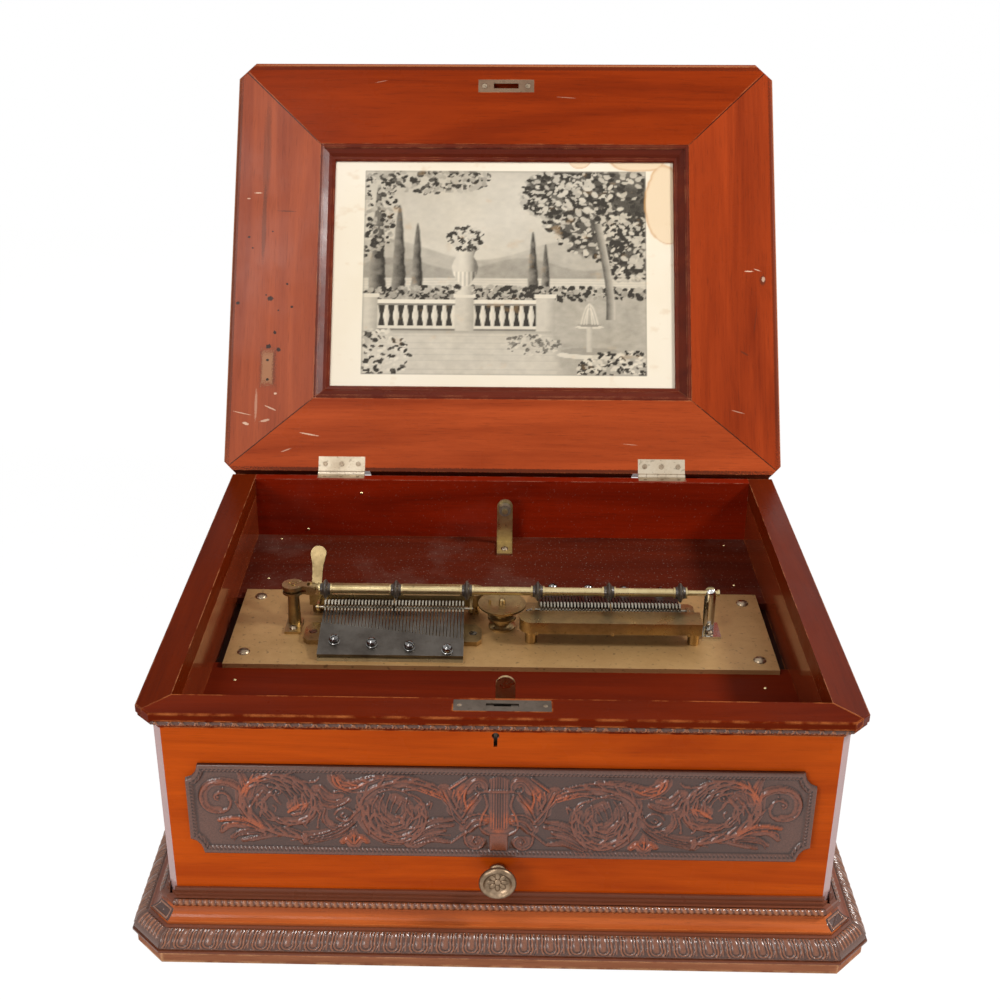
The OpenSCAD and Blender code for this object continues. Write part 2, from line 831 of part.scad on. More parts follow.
module comb_place(s) {
  at_spindle()
    rotate([0, 0, s > 0 ? 180 : 0])
      translate([-comb_x, -tip_y, tip_h])
        rotate([slope, 0, 0])
          children();
}

module comb_screw_set(s) {
  at_spindle()
    rotate([0, 0, s > 0 ? 180 : 0])
      for (x = comb_screw_x)
        translate([-x, -tip_y, tip_h])
          rotate([slope, 0, 0])
            translate([0, -(tooth_short + 20.5 + (tooth_long - tooth_short) * (comb_x + comb_len / 2 - x) / comb_len * 0.66), 0]) {
              difference() {
                rotate_extrude()
                  polygon([[0, 0], [screw_head_r + 0.4, 0], [screw_head_r + 0.4, 0.7], [screw_head_r, 0.9],
                    [screw_head_r, 3.4], [screw_head_r - 0.8, 4.7], [1.8, 5.4], [0, 5.6]]);
                rotate([0, 0, x * 7]) box(-6, 6, -0.5, 0.5, 4.2, 6);
              }
              translate([0, 0, -comb_t - 3]) cylinder(r = 2.2, h = comb_t + 3);
            }
}

module comb(s) {
  color("#3b3733")
    difference() {
      comb_place(s) {
        translate([0, 0, -tooth_t])
          linear_extrude(tooth_t)
            polygon(concat(comb_teeth, [[comb_len / 2, -tooth_long], [comb_len / 2, -comb_d],
              [-comb_len / 2, -comb_d], [-comb_len / 2, -tooth_short]]));
        translate([0, 0, -comb_t])
          linear_extrude(comb_t - tooth_t)
            polygon([[comb_len / 2, -tooth_long - 1], [comb_len / 2, -comb_d],
              [-comb_len / 2, -comb_d], [-comb_len / 2, -tooth_short - 1]]);
      }
      comb_screw_set(s);
    }
}

// Cast bed: a sloped rib under the comb on a foot that ends in two screw lugs
module comb_bed(s) {
  back = -tip_y - comb_d * cos(slope);
  front = -tip_y - (tooth_long + 2) * cos(slope);
  low = tip_h - comb_t / cos(slope);
  t = tan(slope);
  difference() {
    at_spindle()
      rotate([0, 0, s > 0 ? 180 : 0]) {
        translate([-comb_x - comb_len / 2, 0, 0])
          rotate([90, 0, 90])
            linear_extrude(comb_len)
              polygon([
                [back - 1.5, 0], [back - 0.5, low + (back - 0.5 + tip_y) * t], [back + 0.3, low + (back + 0.3 + tip_y) * t],
                [front, low + (front + tip_y) * t], [front, 3], [-6, 3], [-6, 0]
              ]);
        for (k = [-1, 1])
          translate([-comb_x + k * comb_len / 2, 0, 0])
            linear_extrude(lug_t)
              polygon([[-k, -lug_y], [k * 10.5, -lug_y], [k * lug_w, -lug_y + 4], [k * lug_w, -12], [k * 9, -5], [-k, -5]]);
      }
    comb_screw_set(s);
    at_spindle() lug_places(s) translate([0, 0, lug_t - 1.6]) cylinder(r = 3.5, h = 3);
    lug_screws(s);
  }
}

module lug_places(s) {
  rotate([0, 0, s > 0 ? 180 : 0])
    for (k = [-1, 1])
      translate([-comb_x + k * (comb_len / 2 + lug_w / 2), -lug_y / 2 - 2.5, 0])
        children();
}

module lug_screws(s) {
  at_spindle()
    lug_places(s) {
      cylinder(r = 1.6, h = lug_t - 1.6);
      translate([0, 0, lug_t - 1.6])
        difference() {
          cylinder(r = 3, h = 1.9);
          rotate([0, 0, 40]) box(-4, 4, -0.4, 0.4, 1.1, 3);
        }
    }
}

module comb_beds() {
  color("#a5854a") {
    comb_bed(-1);
    comb_bed(1);
  }
}

module comb_screws() {
  color("#2f2c2a")
    for (s = [-1, 1]) {
      comb_screw_set(s);
      lug_screws(s);
    }
}

// Bridge on two pillars with an ear at each end for the star wheels' shaft
module gantry(s) {
  at_spindle()
    rotate([0, 0, s > 0 ? 0 : 180])
      difference() {
        union() {
          translate([0, 0, gantry_h0])
            linear_extrude(gantry_h1 - gantry_h0)
              union() {
                translate([gantry_x0 + 10, -(gantry_y0 + gantry_y1) / 2])
                  circle(r = (gantry_y1 - gantry_y0) / 2);
                translate([gantry_x0 + 10, -gantry_y1])
                  square([gantry_x1 - gantry_x0 - 10, gantry_y1 - gantry_y0]);
              }
          for (x = [ear_x0 - ear_t, ear_x1]) {
            box(x, x + ear_t, -gantry_y0 - 0.5, 0, gantry_h0 + 1, star_h + 2.6);
            translate([x, 0, star_h]) rod_x(2.6, 0, ear_t);
          }
          for (x = [pillar_x0, pillar_x1])
            translate([x, -pillar_y, 0]) cylinder(r = pillar_r, h = gantry_h0);
          for (k = [-0.42, 0, 0.42])
            translate([comb_x + k * comb_len * 1.25, -gantry_y1 + 1.2, gantry_h0 - 1]) cylinder(r = 1.6, h = 2);
          box(comb_x - 0.45, comb_x + 0.45, -gantry_y0 - 0.5, 1.6, gantry_h0 + 1, star_h + 5.2);
        }
        translate([0, 0, star_h]) rod_x(star_shaft_r + fit, ear_x0 - ear_t - 1, ear_x1 + ear_t + 1);
      }
}

module gantries() {
  color("#9c7f45") {
    gantry(1);
    gantry(-1);
  }
}

star_points = [for (i = [0:15]) let (r = i % 2 == 0 ? star_r : star_r * 0.62, a = i * 22.5) [r * cos(a), r * sin(a)]];

module star_wheels(s) {
  color("#6d6a63")
    at_spindle()
      rotate([0, 0, s > 0 ? 0 : 180])
        translate([0, 0, star_h]) {
          rod_x(star_shaft_r, ear_x0 - ear_t - 0.8, ear_x1 + ear_t + 0.8);
          for (i = [0:teeth - 1])
            translate([comb_x - comb_len / 2 + (i + 0.5) * pitch - 0.6, 0, 0])
              rotate([90, 0, 90])
                linear_extrude(1.2)
                  polygon(star_points);
        }
}

module spindle_pedestal() {
  color("#a98948")
    at_spindle()
      rotate_extrude()
        polygon([
          [arbor_r + fit, 0], [11, 0], [11, 1.6], [9, 2.4], [6.4, 4], [6.4, 6.4], [11.7, 8.6], [11.7, 10.8],
          [9, 12], [arbor_r + fit, 12]
        ]);
}

module turntable() {
  color("#b5934f")
    at_spindle() {
      rotate_extrude()
        polygon([
          [0, cock_h - 16], [arbor_r, cock_h - 16], [arbor_r, 12.2], [8, 12.2], [8, 14], [6, 15.5], [6, dish_h - 3.4],
          [dish_d / 2 - 3, dish_h - 1.8], [dish_d / 2, dish_h - 1.6], [dish_d / 2, dish_h],
          [dish_d / 2 - 2.4, dish_h], [6, dish_h - 1], [3, dish_h - 1], [2.6, dish_h + 3], [1.6, dish_h + 4.5], [0, dish_h + 4.9]
        ]);
      translate([-10.1, 0, dish_h - 2]) cylinder(r = 1.2, h = 5);
      translate([0, 0, cock_h - 15])
        linear_extrude(9)
          difference() {
            polygon(gear_points(hub_teeth, hub_r, 0.5, 0.9, 0));
            circle(r = 2);
          }
      translate([0, 0, spur_h])
        linear_extrude(3)
          difference() {
            polygon(gear_points(fan_teeth * fan_ratio, spur_r, 0.5, 0.9, 0));
            circle(r = 2);
          }
    }
}

// Foot, post and a waisted double plate whose fork carries the pressure bar
arm = post_x - pivot_x;
fork_in = 2.7;
fork_out = 4.9;
head_r = 8.7;
foot_t = 2.2;

module post_foot(x0, x1) {
  box(x0, x1, -17, 6.5, 0, foot_t);
}

module left_post() {
  color("#a98948")
    difference() {
      at_spindle() {
        translate([-post_x, 0, 0]) {
          post_foot(-6.6, 6.6);
          translate([0, 0, foot_t - 0.2]) cylinder(d1 = post_d + 1.4, d2 = post_d - 0.6, h = bar_h - foot_t + 1.4);
          difference() {
            union() {
              for (z = [[-3.2, -1.2], [1, 4.2]])
                translate([0, 0, bar_h + z[0]])
                  linear_extrude(z[1] - z[0])
                    union() {
                      circle(r = head_r);
                      polygon([[0, -7.8], [4.6, -6.6], [7.4, -4.2], [10, -3.7], [12.6, -fork_out], [arm, -fork_out],
                        [arm, fork_out], [12.6, fork_out], [10, 3.7], [7.4, 4.2], [4.6, 6.6], [0, 7.8]]);
                    }
              for (y = [-fork_out, fork_in])
                translate([arm, 0, bar_h]) {
                  rod_y(3.6, y, y + fork_out - fork_in);
                  box(-4, 0, y, y + fork_out - fork_in, -3.2, 4.2);
                }
            }
            translate([0, 0, bar_h]) box(arm - 3.9, arm + 5, -fork_in, fork_in, -5, 6);
            translate([0, 0, bar_h + 3.6]) cylinder(r = 4.1, h = 2);
          }
          translate([arm, 0, bar_h]) rod_y(1.5, -fork_out - 0.1, fork_out + 0.1);
          translate([0, 0, bar_h + 3.4])
            difference() {
              cylinder(r = 2.1, h = 1.2);
              rotate([0, 0, 30]) box(-3, 3, -0.3, 0.3, 0.7, 2);
            }
          for (y = [-5.2, 5]) translate([6.4 - abs(y) * 0.2, y, bar_h + 4]) cylinder(r1 = 0.9, r2 = 0.6, h = 0.9);
        }
      }
      case_screw_set();
    }
}

module right_post() {
  color("#b9b5ab")
    difference() {
      at_spindle()
        translate([post_x - 2, 0, 0])
          difference() {
            union() {
              post_foot(-6.6, 8.5);
              translate([0, 0, foot_t - 0.2]) cylinder(d = post_d, h = bar_h - foot_t + 0.9);
              translate([0, 0, bar_h + 0.7]) sphere(d = post_d);
            }
            translate([0, 0, bar_h]) rod_x(rod_r + 0.25, -10, 10);
            box(-10, 10, -rod_r - 0.25, rod_r + 0.25, bar_h, bar_h + 10);
          }
      case_screw_set();
    }
}

rod_r = 2.3;
bar_x0 = -pivot_x + 4.6;
block_x0 = -pivot_x + 4.4;
block_x1 = -pivot_x + 5.9;
block_y = fork_out + 0.2;
bar_x1 = post_x - 22;
roller_places = [for (i = [0:5]) (i - 2.5) < 0 ? -roller_x - (2 - i) * roller_step : roller_x + (i - 3) * roller_step];
roller_len = 8;
collar = 1.2;

module pressure_bar() {
  color("#a88c50")
    at_spindle()
      translate([0, 0, bar_h])
        difference() {
          union() {
            rod_x(bar_r, bar_x0, bar_x1);
            rod_x(rod_r, bar_x1, post_x + 3);
            translate([post_x + 5, 0, 0]) rod_x(rod_r + 0.9, -1.6, 0);
            rod_x(rod_r, post_x + 2, post_x + 4);
            for (x = roller_places, e = [-1, 1])
              translate([x + e * (roller_len / 2 + 0.25) - (e < 0 ? collar : 0), 0, 0])
                rod_x(bar_r + 1.1, 0, collar);
            box(block_x0, block_x1, -block_y, block_y, -3, 3);
            box(-pivot_x, -pivot_x + 5, -2.5, 2.5, -3, 3);
            translate([-pivot_x, 0, 0]) rod_y(3.4, -2.5, 2.5);
          }
          translate([-pivot_x, 0, 0]) rod_y(1.5 + fit, -4, 4);
        }
}

// Waisted tongue that leans back from the block at the bar's left end
module thumb_tongue() {
  color("#9a8350")
    at_spindle()
      translate([-pivot_x + 3.5, block_y, bar_h]) {
        box(-4.1, 4.1, 0, 2, -4, 2);
        translate([0, 0.8, 1.2])
          rotate([45, 0, 0])
            translate([0, 0, -1])
              linear_extrude(2)
                union() {
                  polygon([[-4, 0], [4, 0], [4.1, 10], [4.5, 16], [5.5, 21], [6.3, 25],
                    [-6.3, 25], [-5.5, 21], [-4.5, 16], [-4.1, 10]]);
                  translate([0, 26.3]) circle(r = 6.45);
                }
      }
}

module roller(i) {
  color("#2a2320")
    at_spindle()
      translate([roller_places[i], 0, bar_h])
        rotate([0, 90, 0])
          rotate_extrude()
            polygon([
              [bar_r + fit, -roller_len / 2], [4.6, -roller_len / 2], [5.2, -2.2], [roller_r - 0.8, -1.1],
              [roller_r, -0.6], [roller_r, 0.6], [roller_r - 0.8, 1.1], [5.2, 2.2], [4.6, roller_len / 2],
              [bar_r + fit, roller_len / 2]
            ]);
}

bracket_x = spindle_x + 2.3;
bracket_w = 14.2;

// Upright strap bent forward at its foot, with a pin for the roller
module edge_bracket(y, top) {
  f = y > 0 ? -1 : 1;
  difference() {
    translate([bracket_x, spindle_y + y, deck_z]) {
      box(-bracket_w / 2, bracket_w / 2, -23, 2, 0, 2);
      rotate([90, 0, 0])
        translate([0, 0, -2])
          linear_extrude(2)
            union() {
              translate([-bracket_w / 2, 0]) square([bracket_w, top - bracket_w / 2]);
              translate([0, top - bracket_w / 2]) circle(d = bracket_w);
            }
      translate([0, 0, edge_axis])
        if (f < 0) rod_y(1.5, -8, 0);
        else rod_y(1.5, 2, 10);
      translate([0, 0, edge_axis])
        if (f < 0) rod_y(2.6, -8.6, -7.6);
        else rod_y(2.6, 9.6, 10.6);
    }
    case_screw_set();
  }
}
edge_axis = bed_top + bar_h - deck_z;

rear_bracket_over = 7.8;
front_bracket_over = 17.2;

module edge_brackets() {
  color("#a48c56") {
    edge_bracket(edge_y, edge_axis + rear_bracket_over);
    edge_bracket(-edge_y, edge_axis + front_bracket_over);
  }
}

module edge_roller(s) {
  color("#8f8a7c")
    translate([bracket_x, spindle_y + s * edge_y, deck_z + edge_axis])
      difference() {
        if (s > 0) rod_y(edge_r, -7.2, -0.4);
        else rod_y(edge_r, 2.4, 9.2);
        rod_y(1.5 + fit, -12, 12);
      }
}

// Plates, pillars and the cock that carries the hub's and the governor's arbors
plate_reach = great_r + 1.4;
pillar_d = great_r - 8.4;

module motor_frame() {
  shape = [
    [-25, -bed_t], [49, -bed_t], [49, -14], [barrel_y + 20, -14], [barrel_y + plate_reach, -plate_reach],
    [barrel_y + plate_reach, barrel_h - great_r], [6, barrel_h - great_r], [-25, train_h - 16]
  ];
  color("#8c7a50")
    at_spindle() {
      for (x = [plate_a, plate_b])
        difference() {
          translate([x, 0, 0]) rotate([90, 0, 90]) linear_extrude(plate_t) polygon(shape);
          translate([0, 0, train_h]) rod_x(arbor_r + fit, x - 1, x + plate_t + 1);
          translate([0, barrel_y, barrel_h]) rod_x(wind_r + fit, x - 1, x + plate_t + 1);
        }
      for (p = [[-17, -14], [-19, train_h - 10], [barrel_y + pillar_d, barrel_h + pillar_d],
          [barrel_y + pillar_d, barrel_h - pillar_d]])
        translate([plate_a + plate_t, p[0], p[1]]) rod_x(4, 0, plate_b - plate_a - plate_t);
      difference() {
        union() {
          box(-fan_x - 22, plate_a, -8, 8, cock_h, cock_h + 3);
          box(-fan_x - 22, -fan_x - 19, -8, 8, cock_h + 3, -bed_t);
        }
        translate([0, 0, cock_h - 1]) cylinder(r = arbor_r + fit, h = 5);
        translate([-fan_x, 0, cock_h - 1]) cylinder(r = 1.5 + fit, h = 5);
      }
    }
}

module spring_barrel() {
  color("#a58a4b")
    at_spindle()
      translate([0, barrel_y, barrel_h])
        difference() {
          union() {
            rod_x(barrel_r, plate_a + plate_t + 17, plate_a + plate_t + 17 + barrel_len);
            rod_x(7, plate_a + plate_t + 0.4, plate_b - 0.4);
            translate([plate_a + plate_t + 12, 0, 0])
              rotate([90, 0, 90])
                linear_extrude(5)
                  polygon(gear_points(great_teeth, great_r, 0.7, 1.2, great_phase));
          }
          rod_x(wind_r + fit, 0, far);
        }
}

// A tooth of the great wheel points at a gap of the pinion
mesh_angle = atan2(train_h - barrel_h, -barrel_y);
great_phase = mesh_angle;
train_phase = mesh_angle + 180 + 180 / train_teeth;

module winding_arbor() {
  color("#9b968a")
    at_spindle()
      translate([0, barrel_y, barrel_h])
        union() {
          rod_x(wind_r, plate_a - 2, hw - spindle_x - 8);
          box(hw - spindle_x - 8, hw - spindle_x + 1, -2.6, 2.6, -2.6, 2.6);
        }
}

module train_arbor() {
  color("#a39a80")
    at_spindle()
      translate([0, 0, train_h]) {
        rod_x(arbor_r, hub_r + 0.8, plate_b + plate_t + 2);
        translate([plate_a + plate_t + 9, 0, 0])
          rotate([90, 0, 90])
            linear_extrude(11)
              difference() {
                polygon(gear_points(train_teeth, train_r, 0.7, 1.2, train_phase));
                circle(r = arbor_r);
              }
        translate([hub_r + 3.5, 0, 0])
          rotate([90, 0, 90])
            linear_extrude(2)
              difference() {
                circle(r = contrate_r + 2.5);
                circle(r = arbor_r);
              }
        for (i = [0:contrate_teeth - 1])
          rotate([(i + 0.5) * 360 / contrate_teeth, 0, 0])
            box(hub_r + 0.1, hub_r + 4, -0.6, 0.6, contrate_r - 1.5, contrate_r + 2.3);
      }
}

// Air brake: two vanes on an arbor driven by the hub's wheel
// A heavy drum steadies the wings of the air brake
fan_reach = 17;
module governor_fan() {
  color("#a8945c")
    at_spindle()
      translate([-fan_x, 0, 0]) {
        translate([0, 0, cock_h - 32]) cylinder(r = 1.5, h = -cock_h + 31);
        translate([0, 0, spur_h - 2])
          linear_extrude(8)
            difference() {
              polygon(gear_points(fan_teeth, fan_r, 0.5, 0.9, 180 / fan_teeth));
              circle(r = 1.5);
            }
        translate([0, 0, cock_h - 30]) cylinder(r = fan_reach, h = 15);
        for (a = [0, 180])
          rotate([0, 0, a])
            box(1.2, fan_reach, -0.5, 0.5, cock_h - 16, cock_h - 5);
      }
}

foot_board();
base_rail(0);  // base_rail_front
base_rail(2);  // base_rail_rear
base_rail(3);  // base_rail_left
base_rail(1);  // base_rail_right
front_wall();
rear_wall();
side_wall(-1);  // left_wall
side_wall(1);  // right_wall
carved_panel();
rim_rail(0);  // rim_front
rim_rail(3);  // rim_left
rim_rail(1);  // rim_right
front_deck();
rear_deck();
well_bearers();
bedplate();
comb(-1);  // left_comb
comb(1);  // right_comb
comb_beds();
comb_screws();
gantries();
star_wheels(-1);  // left_star_wheels
star_wheels(1);  // right_star_wheels
spindle_pedestal();
turntable();
left_post();
right_post();
pressure_bar();
thumb_tongue();
roller(0);  // roller_1
roller(1);  // roller_2
roller(2);  // roller_3
roller(3);  // roller_4
roller(4);  // roller_5
roller(5);  // roller_6
edge_brackets();
edge_roller(1);  // rear_edge_roller
edge_roller(-1);  // front_edge_roller
rim_lock();
lock_bolt();
lid_strike();
lid_hinge_leaves();
case_hinge_leaves();
front_knob();
lid_rail(0);  // lid_rail_front
lid_rail(2);  // lid_rail_rear
lid_rail(3);  // lid_rail_left
lid_rail(1);  // lid_rail_right
lid_panel();
picture_print();
lid_moulding();
motor_frame();
spring_barrel();
winding_arbor();
train_arbor();
governor_fan();
winding_escutcheon();
case_screws();
lid_screws();
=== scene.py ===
# Table disc music box, dressed for its photograph: a mahogany case with its lid open over a two-comb movement.
import json
import math

import bmesh
import bpy
import numpy as np
from mathutils import Matrix, Vector

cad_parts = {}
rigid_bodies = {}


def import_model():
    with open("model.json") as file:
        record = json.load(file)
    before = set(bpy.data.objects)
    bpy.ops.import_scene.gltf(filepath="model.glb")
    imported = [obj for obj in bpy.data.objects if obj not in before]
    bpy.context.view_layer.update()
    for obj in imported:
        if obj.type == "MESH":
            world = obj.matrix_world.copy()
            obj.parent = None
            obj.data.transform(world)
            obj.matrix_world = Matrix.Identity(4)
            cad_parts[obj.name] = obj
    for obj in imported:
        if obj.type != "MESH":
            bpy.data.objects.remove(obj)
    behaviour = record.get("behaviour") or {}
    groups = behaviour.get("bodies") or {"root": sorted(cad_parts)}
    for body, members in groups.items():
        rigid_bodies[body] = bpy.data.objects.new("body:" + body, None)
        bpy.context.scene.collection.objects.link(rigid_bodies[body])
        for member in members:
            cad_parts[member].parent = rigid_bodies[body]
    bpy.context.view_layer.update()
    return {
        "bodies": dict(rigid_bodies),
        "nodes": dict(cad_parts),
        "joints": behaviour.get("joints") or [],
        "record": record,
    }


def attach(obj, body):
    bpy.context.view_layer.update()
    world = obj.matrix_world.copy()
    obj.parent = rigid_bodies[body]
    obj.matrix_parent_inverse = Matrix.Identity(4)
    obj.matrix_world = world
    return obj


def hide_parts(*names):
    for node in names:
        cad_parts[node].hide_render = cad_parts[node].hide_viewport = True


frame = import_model()
nodes = frame["nodes"]
MM = 0.001
# The lid at rest: its angle, the sine and the minus cosine of that, and the place of its hinge pins in mm.
LID_OPEN = 124.0
OPEN_SIN, OPEN_COS, PIN_Y, PIN_Z = 0.8290, 0.5592, 201.8, 203.65


def put(name, data):
    made = bpy.data.objects.new(name, data)
    bpy.context.scene.collection.objects.link(made)
    return made


# The camera stands in front of the box at about eye height and looks down into it.
# Its principal point lies left of the picture's middle, which the shift gives.
LOOK_DOWN, ROLL, YAW = 24.984, 0.067, 1.478
camera_data = bpy.data.cameras.new("camera")
camera_data.sensor_width = 36.0
camera_data.lens = 50.9
camera_data.shift_x = 0.0369
camera_data.shift_y = -0.0028
camera_data.clip_end = 50.0
camera = put("camera", camera_data)
camera.location = (-0.0037, -0.9974, 0.73975)
camera.rotation_euler = [math.radians(angle) for angle in (90.0 - LOOK_DOWN, ROLL, YAW)]
bpy.context.scene.camera = camera
bpy.context.scene.view_settings.view_transform = "Standard"


# Node trees are written with these helpers. A colour of three parts is opaque.
def feed(tree, socket, value):
    if isinstance(value, bpy.types.NodeSocket):
        tree.links.new(value, socket)
    elif socket.type == "RGBA" and len(value) == 3:
        socket.default_value = (*value, 1)
    else:
        socket.default_value = value


def add(tree, kind, **values):
    """A new node: i0, i1 and so on feed its inputs by number, other keys feed an input or set a property."""
    made = tree.nodes.new(kind)
    for key, value in values.items():
        name = key.replace("_", " ")
        if key[0] == "i" and key[1:].isdigit():
            feed(tree, made.inputs[int(key[1:])], value)
        elif name in made.inputs:
            feed(tree, made.inputs[name], value)
        else:
            setattr(made, key, value)
    return made


def calc(tree, kind, first, second, clamp=True):
    return add(tree, "ShaderNodeMath", operation=kind, use_clamp=clamp, i0=first, i1=second).outputs[0]


def times(tree, first, second):
    return calc(tree, "MULTIPLY", first, second)


def vector_calc(tree, kind, first, second=(0, 0, 0)):
    return add(tree, "ShaderNodeVectorMath", operation=kind, i0=first, i1=second).outputs


def mix_colour(tree, factor, first, second):
    return add(tree, "ShaderNodeMix", data_type="RGBA", i0=factor, i6=first, i7=second).outputs[2]


def spread(tree, value, low, high, out_low=0.0, out_high=1.0):
    return add(tree, "ShaderNodeMapRange", Value=value, From_Min=low, From_Max=high, To_Min=out_low,
               To_Max=out_high).outputs[0]


def noise(tree, vector, scale, detail=3.0, rough=0.5, twist=0.0):
    return add(tree, "ShaderNodeTexNoise", Vector=vector, Scale=scale, Detail=detail, Roughness=rough,
               Distortion=twist).outputs["Fac"]


def object_place(tree):
    return add(tree, "ShaderNodeTexCoord").outputs["Object"]


def split(tree, vector):
    return add(tree, "ShaderNodeSeparateXYZ", Vector=vector).outputs


def bump_from(tree, height, strength, distance):
    return add(tree, "ShaderNodeBump", Height=height, Strength=strength, Distance=distance).outputs[0]


def masks_of(tree, labels):
    return {label: add(tree, "ShaderNodeAttribute", attribute_name=label).outputs["Fac"] for label in labels}


def new_material(name):
    material = bpy.data.materials.new(name)
    material.use_nodes = True
    material.node_tree.nodes.clear()
    return material, material.node_tree


def principled(tree, **values):
    skin = add(tree, "ShaderNodeBsdfPrincipled", **values)
    add(tree, "ShaderNodeOutputMaterial", Surface=skin.outputs[0])


def new_group(name, inputs, outputs, kind="ShaderNodeTree"):
    """A node group, what it is given, what it has to give, and the identifiers of its inputs."""
    group = bpy.data.node_groups.new(name, kind)
    for label, type_name in outputs.items():
        group.interface.new_socket(name=label, in_out="OUTPUT", socket_type="NodeSocket" + type_name)
    asked = {label: group.interface.new_socket(name=label, in_out="INPUT", socket_type="NodeSocket" + type_name)
             for label, type_name in inputs.items()}
    sockets = {label: socket.identifier for label, socket in asked.items()}
    return group, group.nodes.new("NodeGroupInput").outputs, group.nodes.new("NodeGroupOutput").inputs, sockets


# The floor is plain white and keeps the soft shadow under the foot board.
# It shines on its own only towards the camera and towards metal that mirrors it.
DAYLIGHT = (1.0, 0.985, 0.96)


def seen_or_mirrored(tree):
    rays = add(tree, "ShaderNodeLightPath").outputs
    seen = calc(tree, "MAXIMUM", rays["Is Camera Ray"], rays["Is Glossy Ray"])
    return calc(tree, "MAXIMUM", seen, rays["Is Transmission Ray"])


def floor_white():
    material, tree = new_material("floor_white")
    chalk = add(tree, "ShaderNodeBsdfDiffuse", Color=(1, 1, 1))
    glow = add(tree, "ShaderNodeEmission", Color=(1, 1, 1), Strength=1.05)
    mixed = add(tree, "ShaderNodeMixShader", Fac=times(tree, seen_or_mirrored(tree), 0.92), i1=chalk.outputs[0],
                i2=glow.outputs[0])
    add(tree, "ShaderNodeOutputMaterial", Surface=mixed.outputs[0])
    return material


floor_mesh = bpy.data.meshes.new("floor")
floor_mesh.from_pydata([(-1.7, -1.5, 0), (1.7, -1.5, 0), (1.7, 1.9, 0), (-1.7, 1.9, 0)], [], [(0, 1, 2, 3)])
floor = put("floor", floor_mesh)
floor_mesh.materials.append(floor_white())

world = bpy.data.worlds.new("studio")
world.use_nodes = True
sky = world.node_tree
sky.nodes.clear()
plain = add(sky, "ShaderNodeBackground", Color=DAYLIGHT, Strength=0.27)
white = add(sky, "ShaderNodeBackground", Color=(1, 1, 1), Strength=1.0)
both = add(sky, "ShaderNodeMixShader", Fac=seen_or_mirrored(sky), i1=plain.outputs[0], i2=white.outputs[0])
add(sky, "ShaderNodeOutputWorld", Surface=both.outputs[0])
bpy.context.scene.world = world


# The key lamp stands high at the right and is small enough for the lid and the walls to cast clear shadows.
# A small one over the left shoulder glints on the lid, and a low one lights the carved front from the left.
def soft_box(name, place, aim, size, power, tint):
    lamp = bpy.data.lights.new(name, "AREA")
    lamp.shape = "RECTANGLE"
    lamp.size, lamp.size_y = size
    lamp.energy = power
    lamp.color = tint
    holder = put(name, lamp)
    holder.location = place
    holder.rotation_euler = (Vector(aim) - Vector(place)).to_track_quat("-Z", "Y").to_euler()


soft_box("key_light", (1.6, -0.28, 1.65), (0, 0.05, 0.15), (0.34, 0.34), 34.0, DAYLIGHT)
soft_box("left_light", (-0.56, -0.62, 1.68), (-0.1, 0.1, 0.25), (0.26, 0.4), 5.5, DAYLIGHT)
soft_box("low_light", (-1.0, -1.3, 0.72), (0, -0.1, 0.12), (0.7, 0.5), 9.5, (1.0, 0.99, 0.97))


# All wood here is mahogany: close grain with short dark pores and slow bands of colour.
# One group makes the figure along X of the vector that it gets; each board brings its own colours.
def make_figure():
    group, given, out, _ = new_group(
        "mahogany_figure", {"Vector": "Vector", "Light": "Color", "Deep": "Color", "Pores": "Float"},
        {"Color": "Color", "Height": "Float", "Dull": "Float"})
    place = given["Vector"]
    along, thin, short = (vector_calc(group, "MULTIPLY", place, factors)[0]
                          for factors in ((1.6, 16, 16), (12, 420, 420), (60, 1500, 1500)))
    bands = spread(group, noise(group, along, 1.6, 4, 0.55, 1.4), 0.3, 0.72)
    fibre = noise(group, thin, 1.0, 3, 0.6)
    pores = spread(group, noise(group, short, 1.0, 2, 0.5), 0.60, 0.68)
    share = calc(group, "ADD", times(group, bands, 0.7), times(group, fibre, 0.45))
    share = calc(group, "SUBTRACT", share, times(group, noise(group, place, 5.0, 2), 0.2))
    hollow = times(group, pores, given["Pores"])
    colour = mix_colour(group, share, given["Light"], given["Deep"])
    feed(group, out["Color"], mix_colour(group, hollow, colour, (0.03, 0.008, 0.004)))
    feed(group, out["Height"], calc(group, "SUBTRACT", fibre, hollow))
    feed(group, out["Dull"], spread(group, noise(group, place, 14.0, 4, 0.6), 0.35, 0.7))
    return group


# Edge wear reads how far a rounded normal leans from the true one, and breaks the line up with noise.
def make_edge_wear():
    group, given, out, _ = new_group(
        "edge_wear", {"Vector": "Vector", "Width": "Float", "Amount": "Float"}, {"Mask": "Float"})
    round_normal = add(group, "ShaderNodeBevel", samples=4, Radius=given["Width"]).outputs[0]
    true_normal = add(group, "ShaderNodeNewGeometry").outputs["Normal"]
    edge = spread(group, vector_calc(group, "DOT_PRODUCT", round_normal, true_normal)["Value"], 0.995, 0.88)
    broken = spread(group, noise(group, given["Vector"], 60.0, 4, 0.65), 0.42, 0.62)
    feed(group, out["Mask"], times(group, times(group, edge, broken), given["Amount"]))
    return group


